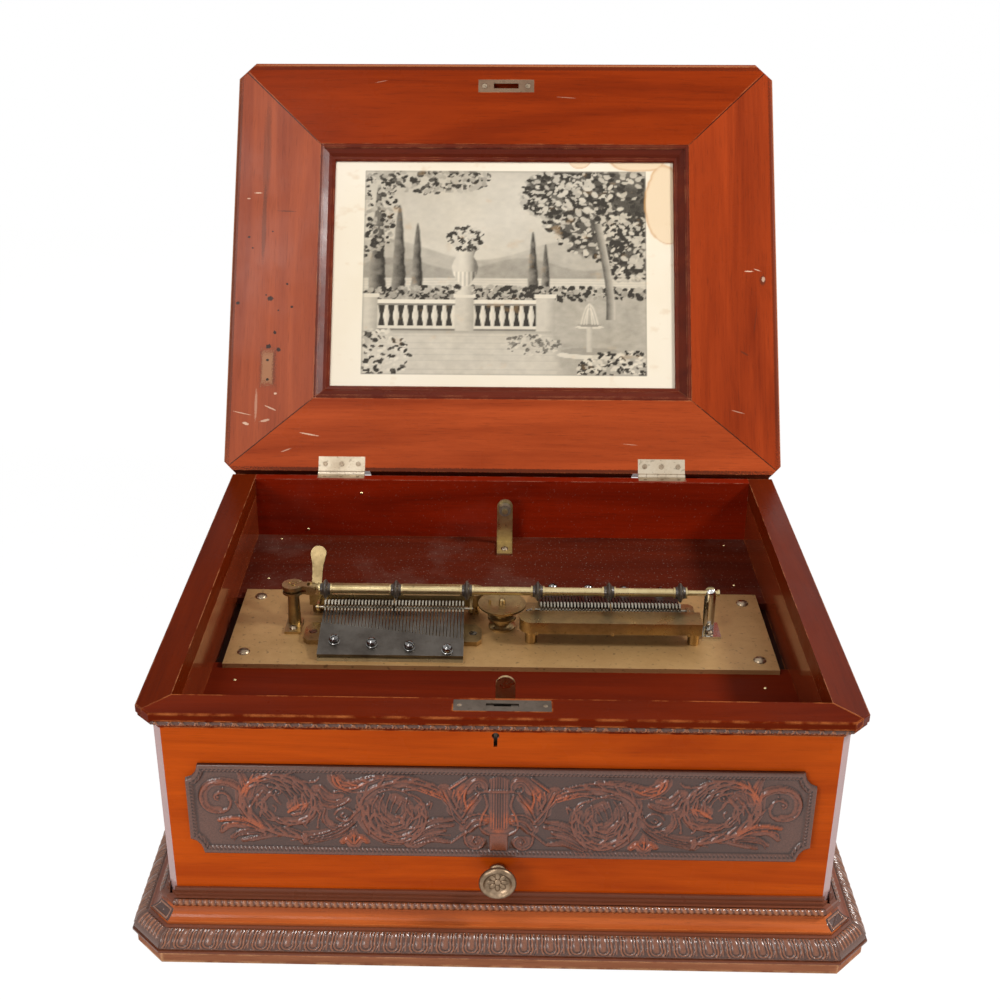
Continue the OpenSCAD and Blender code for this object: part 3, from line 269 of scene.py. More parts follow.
# A mark is a ragged oval or box, turned about its centre.
def make_mark():
    group, given, out, _ = new_group(
        "small_mark", {"Place": "Vector", "Centre": "Vector", "Half Size": "Vector", "Lean": "Float",
                       "Square": "Float"}, {"Mask": "Float"})
    off = vector_calc(group, "SUBTRACT", given["Place"], given["Centre"])[0]
    turned = add(group, "ShaderNodeVectorRotate", rotation_type="Z_AXIS", Vector=off, Angle=given["Lean"]).outputs[0]
    share = vector_calc(group, "DIVIDE", turned, given["Half Size"])[0]
    size = vector_calc(group, "ABSOLUTE", share)[0]
    sides = split(group, size)
    box = calc(group, "MAXIMUM", sides["X"], sides["Y"], False)
    oval = vector_calc(group, "LENGTH", size)["Value"]
    both = add(group, "ShaderNodeMix", i0=given["Square"], i2=oval, i3=box).outputs[0]
    rag = spread(group, noise(group, given["Place"], 0.9, 3, 0.6), 0.3, 0.7, -0.3, 0.3)
    feed(group, out["Mask"], spread(group, calc(group, "ADD", both, rag, False), 1.1, 0.8))
    return group


figure = make_figure()
edge_wear = make_edge_wear()
small_mark = make_mark()


def grain_along(tree, axis, tilt=0.0, shift=(0, 0, 0)):
    turned = add(tree, "ShaderNodeMapping", Vector=object_place(tree), Rotation=(math.radians(tilt), 0, 0)).outputs[0]
    turn = {"X": (0, 0, 0), "Y": (0, 0, math.radians(-90)), "Z": (0, math.radians(90), 0)}[axis]
    return add(tree, "ShaderNodeMapping", Vector=turned, Rotation=turn, Location=shift).outputs[0]


def marked(tree, colour, marks):
    """Marks on the open lid. Each lies by its X and by its way up the lid from the hinge pins, in mm."""
    coords = object_place(tree)
    up = vector_calc(tree, "DOT_PRODUCT", coords, (0, OPEN_COS * 1000, OPEN_SIN * 1000))["Value"]
    height = calc(tree, "SUBTRACT", up, PIN_Y * OPEN_COS + PIN_Z * OPEN_SIN, False)
    across_lid = calc(tree, "MULTIPLY", split(tree, coords)["X"], 1000.0, False)
    place = add(tree, "ShaderNodeCombineXYZ", X=across_lid, Y=height).outputs[0]
    for x, v, half_x, half_v, lean, square, tint, strength in marks:
        mark = add(tree, "ShaderNodeGroup", node_tree=small_mark, Place=place, Centre=(x, v, 0),
                   Half_Size=(half_x, half_v, 1), Lean=math.radians(lean), Square=square)
        colour = mix_colour(tree, times(tree, mark.outputs["Mask"], strength), colour, tint)
    return colour


def wood(name, light, deep, axis="X", tilt=0.0, shift=(0, 0, 0), dull=(0.22, 0.42), coat=0.0, sheen_level=0.08,
         wear=(0.55, 0.16, 0.04), worn=0.5, pores=0.25, wear_width=0.0012, dust=0.0, bands=None, marks=None,
         chamfer_sheen=None, ends=None):
    """Mahogany of two colours. Dust lies on it, bands stain it below one height and above another, its chamfers get a
    pale painted sheen, and ends give the colour of its faces across X."""
    material, tree = new_material(name)
    place = grain_along(tree, axis, tilt, shift)
    board = add(tree, "ShaderNodeGroup", node_tree=figure, Vector=place, Light=light, Deep=deep, Pores=pores).outputs
    rub = add(tree, "ShaderNodeGroup", node_tree=edge_wear, Vector=place, Amount=worn, Width=wear_width)
    colour = mix_colour(tree, rub.outputs["Mask"], board["Color"], wear)
    if dust:
        settled = spread(tree, noise(tree, place, 9.0, 5, 0.7), 0.5, 0.75, 0.0, dust)
        colour = mix_colour(tree, settled, colour, (0.36, 0.27, 0.22))
        specks = spread(tree, noise(tree, place, 520.0, 2, 0.6), 0.64, 0.72, 0.0, dust * 2)
        colour = mix_colour(tree, specks, colour, (0.55, 0.42, 0.34))
    if bands:
        height = split(tree, object_place(tree))["Z"]
        low, high, stain = bands
        dark = calc(tree, "MAXIMUM", spread(tree, height, low + 0.0008, low - 0.0008),
                    spread(tree, height, high - 0.0015, high + 0.0015))
        colour = mix_colour(tree, times(tree, dark, 0.85), colour, stain)
    if marks:
        colour = marked(tree, colour, marks)
    if ends or chamfer_sheen:
        across = split(tree, add(tree, "ShaderNodeNewGeometry").outputs["True Normal"])["X"]
        slant = times(tree, across, across)
    if ends:
        colour = mix_colour(tree, spread(tree, slant, 0.8, 0.9), colour, ends)
    # The chamfers take a pale grey colour as painted sheen, and a clear coat.
    if chamfer_sheen:
        chamfer = times(tree, spread(tree, slant, 0.3, 0.4), spread(tree, slant, 0.7, 0.6))
        colour = mix_colour(tree, times(tree, chamfer, 0.75), colour, chamfer_sheen)
        coat = times(tree, chamfer, 0.7)
    principled(tree, Base_Color=colour, Roughness=spread(tree, board["Dull"], 0.0, 1.0, *dull),
               Normal=bump_from(tree, board["Height"], 0.12, 0.0004), Specular_IOR_Level=sheen_level,
               Coat_Weight=coat, Coat_Roughness=0.12)
    return material


def dress(names, material):
    for name in names:
        mesh = nodes[name].data
        mesh.materials.clear()
        mesh.materials.append(material)


# Carcass: four walls between the foot board and the rim, with dark stained boards inside.
# The front is the palest board of all, and the sides shine most. The ends of front and rear match the sides.
BOARD_ENDS = (0.20, 0.034, 0.009)
# The front's chamfers carry a pale grey painted sheen.
dress(["front_wall"], wood("front_board", (0.62, 0.096, 0.004), (0.31, 0.031, 0.0015), dull=(0.2, 0.34),
                           sheen_level=0.05, worn=0.3, pores=0.12, chamfer_sheen=(0.40, 0.33, 0.34), ends=BOARD_ENDS))
dress(["left_wall", "right_wall"], wood("side_board", (0.26, 0.045, 0.012), (0.13, 0.018, 0.006), "Y",
                                        dull=(0.1, 0.2), coat=0.25, sheen_level=0.3))
dress(["rear_wall"], wood("rear_board", (0.29, 0.016, 0.002), (0.12, 0.006, 0.001), dull=(0.3, 0.5),
                          sheen_level=0.04, wear=(0.45, 0.17, 0.11), worn=1.2, dust=0.04, ends=BOARD_ENDS))
dress(["front_deck"], wood("front_deck_board", (0.17, 0.016, 0.003), (0.08, 0.007, 0.002), dull=(0.4, 0.65),
                           sheen_level=0.03))
dress(["rear_deck"], wood("rear_deck_board", (0.12, 0.015, 0.005), (0.045, 0.006, 0.003), shift=(0.35, 0.6, 0),
                          dull=(0.4, 0.65), sheen_level=0.05, dust=0.16))
# The bearers in the well are near-black: painted shade in the gaps at the ends of the bedplate.
dress(["well_bearers"], wood("bearer_painted_shade", (0.02, 0.005, 0.003), (0.01, 0.003, 0.002), "Y"))
dress(["foot_board"], wood("foot_wood", (0.44, 0.17, 0.085), (0.20, 0.07, 0.032), dull=(0.5, 0.75),
                           wear=(0.72, 0.40, 0.20), worn=1.6, wear_width=0.004))

# Base moulding: run from four lengths and mitred at the corners, stained dark below and above its plain hollow.
BAND_LOW, BAND_HIGH = 0.0265, 0.0375
dress(["base_rail_front", "base_rail_rear"],
      wood("base_wood", (0.58, 0.135, 0.026), (0.27, 0.048, 0.011), worn=1.2, sheen_level=0.22,
           bands=(BAND_LOW, BAND_HIGH, (0.12, 0.040, 0.024))))
dress(["base_rail_left", "base_rail_right"],
      wood("base_side_wood", (0.26, 0.07, 0.03), (0.12, 0.03, 0.014), "Y", sheen_level=0.3, worn=0.8,
           bands=(BAND_LOW, BAND_HIGH, (0.13, 0.05, 0.032))))

# Rim moulding round the top of the case, rubbed pale along its edges by the lid and by hands.
dress(["rim_front"], wood("rim_wood", (0.175, 0.017, 0.002), (0.085, 0.007, 0.001), sheen_level=0.02,
                          wear=(0.50, 0.15, 0.04), worn=1.5, wear_width=0.0022))
for side, sheen_level in (("left", 0.01), ("right", 0.07)):
    dress(["rim_" + side], wood(f"rim_{side}_wood", (0.155, 0.017, 0.002), (0.075, 0.007, 0.001), "Y",
                                sheen_level=sheen_level, wear=(0.50, 0.19, 0.08), worn=1.4))

# Carved panel on the front: one thin mahogany board, cut by hand in low relief and planted on the wall.
# Scrolls of acanthus meet at a lyre. The left half is drawn here and the right half mirrors it.
# The drawing's units run right and down from the board's upper left corner; DIP lowers a part of the right half.
PANEL_HALF, PANEL_LOW, PANEL_HIGH, WALL_FACE = 220.0, 80.5, 157.0, -188.5
GROUND, BAND = 1.3, 3.3
DRAWING_LEFT, DRAWING_TOP, UNIT_X, UNIT_Z, DRAWING_TILT = -216, 164.4, 0.143, 0.1705, 0.002
DIP, DIP_X, DIP_REACH = 4.0, 73, 32
PATH_STEP, LOBE_STEP = 0.45, 0.4
LEAF_BASE, LEAF_TIP = 3.0, 1.1
columns, rows = 761, 108
across = np.linspace(-PANEL_HALF, PANEL_HALF, columns)
upward = np.linspace(PANEL_LOW, PANEL_HIGH, rows)


def curve_through(points, step):
    points = np.array(points, float)
    ends = np.vstack([2 * points[0] - points[1], points, 2 * points[-1] - points[-2]])
    parts = []
    for i in range(1, len(ends) - 2):
        a, b, c, d = ends[i - 1:i + 3]
        t = np.linspace(0, 1, max(2, int(np.hypot(*(c - b)) / step)), endpoint=False)[:, None]
        parts.append(0.5 * (2 * b + (c - a) * t + (2 * a - 5 * b + 4 * c - d) * t ** 2
                            + (3 * b - a - 3 * c + d) * t ** 3))
    return np.vstack(parts + [points[-1:]])


def cut(field, path, wide, narrow, height):
    for k, (x, z) in enumerate(path):
        reach = (wide + (narrow - wide) * k / len(path)) / 2
        i0, i1 = np.searchsorted(across, (x - reach, x + reach))
        j0, j1 = np.searchsorted(upward, (z - reach, z + reach))
        if i0 < i1 and j0 < j1:
            far = ((across[None, i0:i1] - x) ** 2 + (upward[j0:j1, None] - z) ** 2) / reach ** 2
            dome = height * np.sqrt(np.clip(1 - far, 0, 1))
            field[j0:j1, i0:i1] = np.maximum(field[j0:j1, i0:i1], dome)


def on_board(points):
    return [(DRAWING_LEFT + UNIT_X * x, DRAWING_TOP + DRAWING_TILT * x - UNIT_Z * y) for x, y in points]


def mirrored_cut(field, path, wide, narrow, height):
    cut(field, path, wide, narrow, height)
    right = path * (-1, 1)
    right[:, 1] -= DIP * np.exp(-((right[:, 0] - DIP_X) / DIP_REACH) ** 2)
    cut(field, right, wide, narrow, height)


def both_halves(field, points, wide, narrow, height):
    mirrored_cut(field, curve_through(on_board(points), PATH_STEP), wide, narrow, height)


def leaflets(field, points, spacing, length, side):
    """Leaves along one side of a stroke, swept along it and shorter towards its end."""
    path = curve_through(on_board(points), PATH_STEP)
    for k in range(6, len(path) - 8, int(1.9 * spacing / PATH_STEP)):
        flow = path[k + 3] - path[k - 3]
        flow /= max(np.hypot(*flow), 1e-6)
        out = np.array([-flow[1], flow[0]]) * side
        reach = length * (1 - 0.35 * k / len(path))
        middle, tip = reach * (0.45 * flow + 0.34 * out), reach * (1.15 * flow + 0.62 * out)
        lobe = [path[k], path[k] + middle, path[k] + tip]
        mirrored_cut(field, curve_through(lobe, LOBE_STEP), LEAF_BASE, LEAF_TIP, 0.9)


# A stroke is its width at its start, its width at its end, and its points in the drawing's units.
bodies = [
    (5, 3, [(238, 165), (200, 140), (150, 132), (100, 140), (66, 168), (54, 210), (66, 250), (95, 270), (132, 272)]),
    (7, 3, [(262, 200), (264, 140), (246, 84)]), (7, 3, [(290, 190), (325, 135), (347, 100)]),
    (6, 3, [(320, 200), (362, 165), (384, 190)]), (6, 4, [(345, 112), (430, 108), (510, 125), (575, 190)]),
    (7, 3, [(250, 190), (250, 250), (290, 320), (350, 365), (440, 390), (535, 408)]),
    (6, 2, [(345, 372), (270, 330), (200, 318), (124, 326)]),
    (6, 2, [(345, 380), (265, 355), (185, 350), (132, 384)]),
    (6, 2, [(355, 388), (290, 382), (225, 392), (182, 412)]),
    (5, 2, [(365, 395), (325, 408), (285, 420), (235, 428)]),
    (7, 4, [(500, 250), (560, 240), (600, 265), (560, 315), (500, 330), (430, 328)]),
    (8, 3, [(550, 415), (640, 402), (720, 374), (785, 325), (824, 268)]),
    (8, 4, [(712, 108), (740, 142), (800, 150), (860, 130), (930, 110), (1030, 105)]),
    (7, 4, [(850, 200), (905, 160), (980, 140), (1060, 135), (1140, 150), (1225, 190)]),
    (9, 6, [(850, 260), (860, 330), (915, 392), (1000, 418), (1080, 395), (1130, 335), (1128, 265)]),
    (8, 5, [(900, 230), (930, 290), (990, 330), (1050, 310), (1060, 250), (1000, 210)]),
    (7, 3, [(790, 442), (792, 405), (790, 376)]), (6, 3, [(785, 440), (760, 420), (733, 434)]),
    (6, 3, [(795, 440), (825, 414), (857, 432)]), (6, 2, [(1070, 440), (1150, 395), (1244, 372)]),
    (6, 2, [(1090, 447), (1170, 420), (1264, 434)]), (6, 2, [(1110, 385), (1175, 335), (1280, 318)]),
    (6, 2, [(1120, 370), (1200, 350), (1284, 346)]), (6, 3, [(620, 170), (665, 210), (735, 200)]),
    (6, 3, [(630, 250), (690, 245), (770, 220)]), (5, 3, [(640, 270), (650, 320), (700, 360)]),
    (7, 3, [(1240, 170), (1262, 215), (1300, 270), (1345, 330)]), (9, 4, [(1300, 265), (1312, 200), (1345, 150)]),
    (8, 4, [(1330, 305), (1362, 250), (1405, 205)]), (7, 4, [(1350, 360), (1400, 330), (1470, 320)]),
    (6, 4, [(1352, 165), (1385, 128), (1420, 120), (1445, 150)]), (7, 5, [(1375, 430), (1400, 445), (1420, 430)]),
]
ridges = [
    (2.6, 1.5, [(238, 165), (205, 140), (150, 128), (100, 134), (60, 162), (42, 208), (52, 252), (88, 280),
                (132, 286), (170, 272), (188, 245), (186, 212), (164, 190), (135, 186), (114, 198), (112, 216),
                (126, 224)]),
    (2.6, 1.4, [(545, 412), (480, 405), (400, 385), (320, 345), (262, 290), (238, 235), (250, 180), (295, 130),
                (360, 100), (430, 92), (500, 108), (560, 145), (598, 195), (608, 245), (598, 290), (560, 322),
                (505, 340), (445, 338), (395, 318), (360, 285), (345, 245), (355, 212), (385, 196), (412, 205),
                (420, 230)]),
    (1.7, 0.9, [(420, 114), (480, 130), (530, 165), (560, 210), (562, 255), (535, 290), (490, 302)]),
    (1.8, 0.9, [(400, 132), (455, 150), (500, 185), (522, 228), (512, 262), (480, 278)]),
    (1.5, 0.9, [(380, 152), (430, 167), (465, 197), (480, 230)]),
    (1.8, 0.9, [(324, 198), (300, 235), (275, 280), (290, 325), (325, 355)]),
    (1.5, 0.9, [(365, 217), (340, 250), (345, 290), (375, 320)]), (2.4, 1.2, [(472, 282), (520, 246), (577, 234)]),
    (1.2, 0.7, [(268, 204), (266, 140), (243, 80)]), (1.2, 0.7, [(300, 194), (318, 140), (300, 104)]),
    (1.3, 0.7, [(250, 230), (250, 190), (300, 152), (350, 142), (380, 166)]),
    (1.4, 0.8, [(330, 200), (352, 176), (372, 196)]), (1.4, 0.8, [(345, 370), (270, 326), (200, 312), (124, 324)]),
    (1.4, 0.8, [(345, 378), (265, 346), (190, 338), (140, 352), (130, 384)]),
    (1.4, 0.8, [(355, 386), (290, 370), (225, 378), (184, 408)]),
    (1.2, 0.8, [(365, 395), (325, 402), (285, 412), (235, 426)]),
    (1.2, 0.8, [(350, 392), (280, 392), (215, 402), (190, 430)]),
    (1.3, 0.8, [(350, 372), (410, 362), (480, 368), (540, 388)]), (2.4, 2.0, [(544, 394), (538, 415), (546, 436)]),
    (2.0, 1.8, [(556, 396), (552, 415), (558, 434)]),
    (0.9, 0.7, [(556, 402), (640, 388), (715, 356), (778, 308), (812, 262)]),
    (0.9, 0.7, [(556, 412), (645, 400), (722, 370), (790, 322)]),
    (0.9, 0.7, [(556, 422), (650, 411), (732, 384), (800, 334)]),
    (0.9, 0.7, [(556, 432), (660, 422), (742, 398), (810, 350)]),
    (2.2, 1.4, [(822, 268), (846, 205), (905, 158), (980, 132), (1060, 124), (1140, 141), (1205, 165)]),
    (2.2, 1.2, [(838, 250), (845, 310), (870, 365), (925, 410), (1000, 432), (1070, 420), (1125, 380), (1150, 325),
                (1148, 265), (1120, 215), (1070, 187)]),
    (1.8, 1.0, [(868, 252), (872, 315), (905, 365), (960, 398), (1025, 402), (1085, 375), (1118, 325), (1115, 270)]),
    (1.6, 1.0, [(898, 268), (905, 320), (940, 358), (995, 373), (1050, 355), (1085, 315), (1082, 270)]),
    (1.5, 1.0, [(930, 288), (948, 328), (990, 345), (1035, 325), (1052, 290)]),
    (1.8, 1.2, [(1005, 300), (1032, 310), (1042, 340), (1015, 362)]),
    (1.3, 0.8, [(918, 198), (890, 240), (885, 282)]), (1.3, 0.8, [(948, 190), (925, 235), (922, 290)]),
    (1.3, 0.8, [(978, 192), (960, 240), (952, 292)]), (1.3, 0.8, [(1006, 205), (985, 250), (975, 288)]),
    (1.3, 0.8, [(1032, 225), (1015, 260), (1000, 284)]), (1.3, 0.8, [(1060, 212), (1050, 250), (1056, 286)]),
    (1.8, 1.0, [(850, 188), (900, 152), (960, 152), (1010, 167)]),
    (1.5, 1.0, [(922, 180), (980, 167), (1040, 177), (1080, 202)]),
    (1.8, 1.2, [(1045, 172), (1100, 167), (1160, 187), (1225, 212)]),
    (1.4, 1.0, [(1060, 152), (1130, 157), (1190, 180), (1235, 202)]),
    (1.8, 1.0, [(698, 92), (706, 132), (742, 160), (800, 160), (850, 137), (920, 109), (1010, 98), (1100, 112),
                (1180, 140), (1242, 170)]),
    (1.4, 0.8, [(706, 97), (760, 130), (830, 120), (900, 102), (1000, 88)]),
    (1.7, 1.2, [(752, 166), (800, 182), (852, 176)]), (2.0, 1.2, [(590, 130), (612, 128), (632, 112)]),
    (1.8, 1.0, [(640, 150), (680, 186), (722, 192)]), (1.6, 1.0, [(630, 172), (660, 215), (700, 226), (738, 214)]),
    (1.6, 1.0, [(620, 192), (640, 236), (690, 251), (740, 241), (778, 214)]),
    (1.4, 1.0, [(700, 182), (740, 176), (772, 192)]), (1.4, 0.9, [(655, 262), (642, 310), (665, 356), (706, 371)]),
    (1.6, 1.2, [(632, 282), (618, 320), (613, 358)]), (1.4, 1.0, [(560, 362), (545, 346), (550, 326), (582, 314)]),
    (1.6, 1.0, [(700, 292), (720, 271), (760, 262), (800, 286)]),
    (1.8, 1.2, [(710, 312), (735, 326), (770, 318), (792, 296), (822, 268)]),
    (1.2, 0.9, [(745, 288), (730, 300), (746, 311), (762, 301)]), (1.2, 0.8, [(690, 340), (730, 351), (782, 340)]),
    (1.2, 0.9, [(404, 166), (425, 160), (441, 178), (428, 196), (412, 190)]),
    (1.3, 0.9, [(398, 250), (412, 262), (406, 280)]), (1.3, 0.9, [(790, 440), (792, 405), (790, 378)]),
    (1.5, 0.9, [(783, 438), (758, 416), (733, 434)]), (1.5, 0.9, [(797, 438), (826, 410), (857, 430)]),
    (1.2, 0.8, [(1070, 434), (1140, 382), (1185, 367), (1247, 371)]),
    (1.2, 0.8, [(1075, 441), (1150, 410), (1210, 395), (1272, 400)]),
    (1.2, 0.8, [(1090, 446), (1170, 427), (1225, 418), (1266, 434)]),
    (1.3, 0.8, [(1110, 380), (1150, 335), (1205, 312), (1284, 318)]),
    (1.2, 0.8, [(1115, 385), (1180, 350), (1240, 338), (1290, 346)]),
    (2.0, 1.4, [(1240, 168), (1262, 215), (1300, 280), (1342, 330)]),
    (1.6, 1.0, [(1158, 245), (1180, 236), (1172, 266)]),
    (1.4, 1.0, [(1240, 210), (1270, 250), (1290, 310), (1330, 350)]),
    (1.4, 1.0, [(1290, 170), (1285, 215), (1320, 262)]),
    (1.8, 1.0, [(1350, 252), (1340, 205), (1352, 160), (1385, 122), (1420, 115), (1448, 135), (1450, 165),
                (1425, 181), (1398, 172), (1395, 150), (1412, 142)]),
    (1.4, 0.9, [(1300, 262), (1316, 205), (1345, 160)]), (1.4, 0.9, [(1332, 300), (1365, 250), (1404, 212)]),
    (1.8, 1.0, [(1345, 380), (1342, 420), (1365, 458), (1405, 465), (1435, 441), (1425, 412), (1395, 404),
                (1378, 425), (1392, 440)]),
    (1.6, 1.0, [(1330, 332), (1360, 301), (1410, 290), (1462, 296)]),
    (1.6, 1.0, [(1350, 360), (1380, 326), (1425, 315), (1472, 326)]),
    (1.5, 1.0, [(1365, 377), (1400, 346), (1442, 340)]),
    (1.8, 1.5, [(1440, 195), (1452, 250), (1425, 305), (1418, 360), (1460, 392)]),
]
rods = [[(1268, 162), (1352, 106)], [(1342, 270), (1416, 180)], [(1276, 435), (1352, 378)]]
berries = [
    (2.2, 243, 82), (2.0, 346, 100), (2.8, 697, 95), (2.2, 752, 164), (2.6, 613, 359), (2.4, 126, 208),
    (1.8, 155, 166), (2.4, 1005, 303), (1.8, 1073, 288), (1.8, 1070, 237), (2.0, 1045, 172), (2.0, 1170, 234),
    (2.6, 793, 400), (2.0, 418, 180), (1.8, 322, 202), (1.8, 1412, 150), (1.8, 1400, 432), (1.8, 345, 372),
    (1.6, 229, 308),
]
rubbed = [
    (9, 5, [(262, 170), (290, 120), (350, 105)]), (9, 4, [(712, 120), (760, 150), (850, 135)]),
    (12, 8, [(745, 425), (790, 410), (850, 425)]), (10, 8, [(1130, 190), (1200, 190), (1240, 205)]),
    (12, 8, [(1300, 160), (1340, 200), (1370, 250)]), (9, 5, [(470, 275), (560, 240)]),
    (8, 5, [(130, 335), (230, 320), (330, 350)]), (12, 9, [(1450, 300), (1510, 350), (1510, 360)]),
]

mass = np.zeros((rows, columns))
lines = np.zeros((rows, columns))
shine = np.zeros((rows, columns))
for wide, narrow, points in bodies:
    both_halves(mass, points, wide * 1.55, narrow * 1.6, 1.0)
for wide, narrow, points in ridges:
    both_halves(lines, points, wide * 1.15, narrow * 1.15, 1.1)
for k, spacing, length, sign in (
        (1, 5.0, 10.5, -1), (1, 6.5, 6.0, 1), (26, 5.4, 9.0, -1), (27, 5.0, 8.0, -1), (27, 5.6, 9.0, 1),
        (28, 4.6, 8.0, 1), (2, 5.0, 8.0, -1), (3, 4.6, 7.0, -1), (24, 6.0, 6.5, 1), (25, 5.6, 9.0, 1),
        (5, 4.8, 7.0, 1), (6, 4.4, 5.0, -1), (41, 5.0, 6.0, -1), (39, 3.8, 5.0, -1), (0, 6.0, 3.5, 1),
        (70, 4.0, 5.0, 1)):
    leaflets(lines, ridges[k][2], spacing, length, sign)
for points in rods:
    both_halves(lines, points, 2.0, 2.0, 1.5)
for size, x, y in berries:
    both_halves(lines, [(x, y), (x + 1, y)], size, size, 1.4)
for wide, narrow, points in rubbed:
    both_halves(shine, points, wide, narrow, 1.0)

# The lyre in the middle: its strings, its cross bar, its foot and the round base under it.
LYRE_HALF = 7.2
X, Z = np.meshgrid(across, upward)
lyre = (np.abs(X) < LYRE_HALF) & (Z > 105) & (Z < 146 + 4 * np.sqrt(np.clip(1 - (X / LYRE_HALF) ** 2, 0, 1)))
mass = np.maximum(mass, 0.55 * lyre)
lines = np.where(lyre, 0.75 * np.clip(np.cos(X / 1.86 * 2 * np.pi), 0, 1) ** 0.6, lines)
lines = np.maximum(lines, 1.2 * ((np.abs(Z - 137.7) < 0.8) & (np.abs(X) < 11)))
foot = np.clip(np.minimum(6.8 - np.abs(X), np.minimum(Z - 86, 101.5 - Z)) / 1.2, 0, 1)
mass = np.maximum(mass, 1.3 * foot)
mass = np.maximum(mass, 0.9 * np.clip(1 - ((X / 13) ** 2 + ((Z - 103) / 5) ** 2), 0, 1) ** 0.5)

# Fine flutes follow the swell of every body.
flutes = np.cos(2 * np.pi * 2.2 * np.sqrt(np.clip(1 - mass ** 2, 0, 1))) * (mass > 0.12) * ~lyre
lines = np.maximum(lines, 0.2 * flutes)

# A plain band, a fine rope bead and a groove run round the carving and turn inwards at the corners.
BEAD_AT, BEAD_HALF, STRAND_PITCH = 4.4, 1.35, 2.9
corner_x = PANEL_HALF - np.abs(X)
corner_z = (PANEL_HIGH - PANEL_LOW) / 2 - np.abs(Z - (PANEL_HIGH + PANEL_LOW) / 2)
from_edge = np.minimum(corner_x, corner_z)
hollow = (np.sqrt((corner_x / 9) ** 2 + (corner_z / 12) ** 2) - 1) * 10
inside = np.minimum(from_edge, hollow)
along = np.where(hollow < from_edge, 11 * np.arctan2(corner_x, corner_z), np.where(corner_x < corner_z, Z, X))
bead = np.clip(1 - ((inside - BEAD_AT) / BEAD_HALF) ** 2, 0, 1) ** 0.5
strand = 0.5 + 0.5 * np.cos((along + 0.8 * (inside - BEAD_AT)) * 2 * np.pi / STRAND_PITCH)
punched = np.random.default_rng(7).normal(0, 0.05, (rows, columns))
carved = GROUND + punched * (mass < 0.05) + mass * 0.9 + lines * 1.25
for reach, height in ((6.4, GROUND + 0.2), (5.8, 1.9 + bead * (0.4 + 1.4 * strand)), (3.0, BAND), (0.4, -0.3)):
    carved = np.where(inside < reach, height, carved)


def softened(field, rounds):
    for _ in range(rounds):
        padded = np.pad(field, 1, mode="edge")
        field = (padded[:-2, 1:-1] + padded[2:, 1:-1] + padded[1:-1, :-2] + padded[1:-1, 2:] + 4 * field) / 8
    return field


# Painted shade: the carving darkens in its hollows, where it lies below a blurred copy of itself.
shade_and_dirt = np.clip((softened(carved, 12) - carved) * 2.2, 0, 1)
# The open ground between the leaves is also darker, except towards the board's ends.
open_ground = (mass + lines < 0.15) * (inside > 6.4)
shade_and_dirt = np.maximum(shade_and_dirt, 0.55 * open_ground * np.clip((205 - np.abs(X)) / 30, 0, 1))
raised = np.clip(mass + lines, 0, 1)


def sheet_mesh(name, points, wide, closed_back):
    count = len(points) // wide
    faces = [(j * wide + i, j * wide + i + 1, (j + 1) * wide + i + 1, (j + 1) * wide + i)
             for j in range(count - 1) for i in range(wide - 1)]
    if closed_back:
        edge = (list(range(wide)) + [j * wide + wide - 1 for j in range(1, count)]
                + list(range(count * wide - 2, (count - 1) * wide - 1, -1))
                + [j * wide for j in range(count - 2, 0, -1)])
        faces.append(tuple(reversed(edge)))
    mesh = bpy.data.meshes.new(name)
    mesh.from_pydata(points, [], faces)
    return mesh


def write_fields(mesh, fields):
    for label, field in fields.items():
        values = field.astype(np.float32).ravel()
        mesh.attributes.new(label, "FLOAT", "POINT").data.foreach_set("value", values)


panel_points = np.stack([X * MM, (WALL_FACE - carved) * MM, Z * MM], axis=-1).reshape(-1, 3)
panel_mesh = sheet_mesh("carved_relief", panel_points.tolist(), columns, True)
write_fields(panel_mesh, {"shade_and_dirt": shade_and_dirt, "rubbed": softened(shine, 20) * raised, "raised": raised})
panel_relief = put("carved_relief", panel_mesh)
for polygon in panel_mesh.polygons:
    polygon.use_smooth = True


def carved_wood(name, ground, raised, bright, axis="X"):
    """Carved mahogany: the colour of its ground, of its mass and of what is rubbed, with shade painted dark into its
    hollows.
    """
    material, tree = new_material(name)
    place = grain_along(tree, axis)
    masks = masks_of(tree, ("shade_and_dirt", "rubbed", "raised"))
    cloud = spread(tree, noise(tree, place, 22.0, 4, 0.65), 0.35, 0.7)
    speck = noise(tree, place, 900.0, 2, 0.5)
    patch = times(tree, calc(tree, "ADD", masks["rubbed"], times(tree, cloud, 0.15)), masks["raised"])
    colour = mix_colour(tree, masks["raised"], ground, raised)
    colour = mix_colour(tree, patch, colour, bright)
    # Painted shade in the hollows; on the panel the same mask also darkens the open ground.
    colour = mix_colour(tree, masks["shade_and_dirt"], colour, (0.035, 0.014, 0.009))
    colour = mix_colour(tree, spread(tree, speck, 0.35, 0.65, 0.0, 0.35), colour, (0.04, 0.018, 0.012))
    principled(tree, Base_Color=colour, Normal=bump_from(tree, speck, 0.15, 0.0004),
               Roughness=spread(tree, cloud, 0.0, 1.0, 0.15, 0.28), Specular_IOR_Level=0.55)
    return material


panel_mesh.materials.append(
    carved_wood("carved_wood", (0.155, 0.064, 0.042), (0.22, 0.066, 0.034), (0.48, 0.095, 0.018)))
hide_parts("carved_panel")
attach(panel_relief, "case")

# Carving on the base and the rim: rope bead, egg and dart, and a band of small leaves.
# Each length is cut into its moulding and stops at the corner blocks.
# The front corner blocks have reeds, and a framed square with a nail.
SKIN, BACK = 0.07, 0.9
BARE_END, END_RISE, EDGE_SHARE = 1.0, 1.5, 0.06
MITRE_LEAN = math.tan(math.radians(22.5))


def profile_arc(cx, cz, radius, start, end, count):
    return [(cx + radius * math.cos(math.radians(a)), cz + radius * math.sin(math.radians(a)))
            for a in np.linspace(start, end, count)]


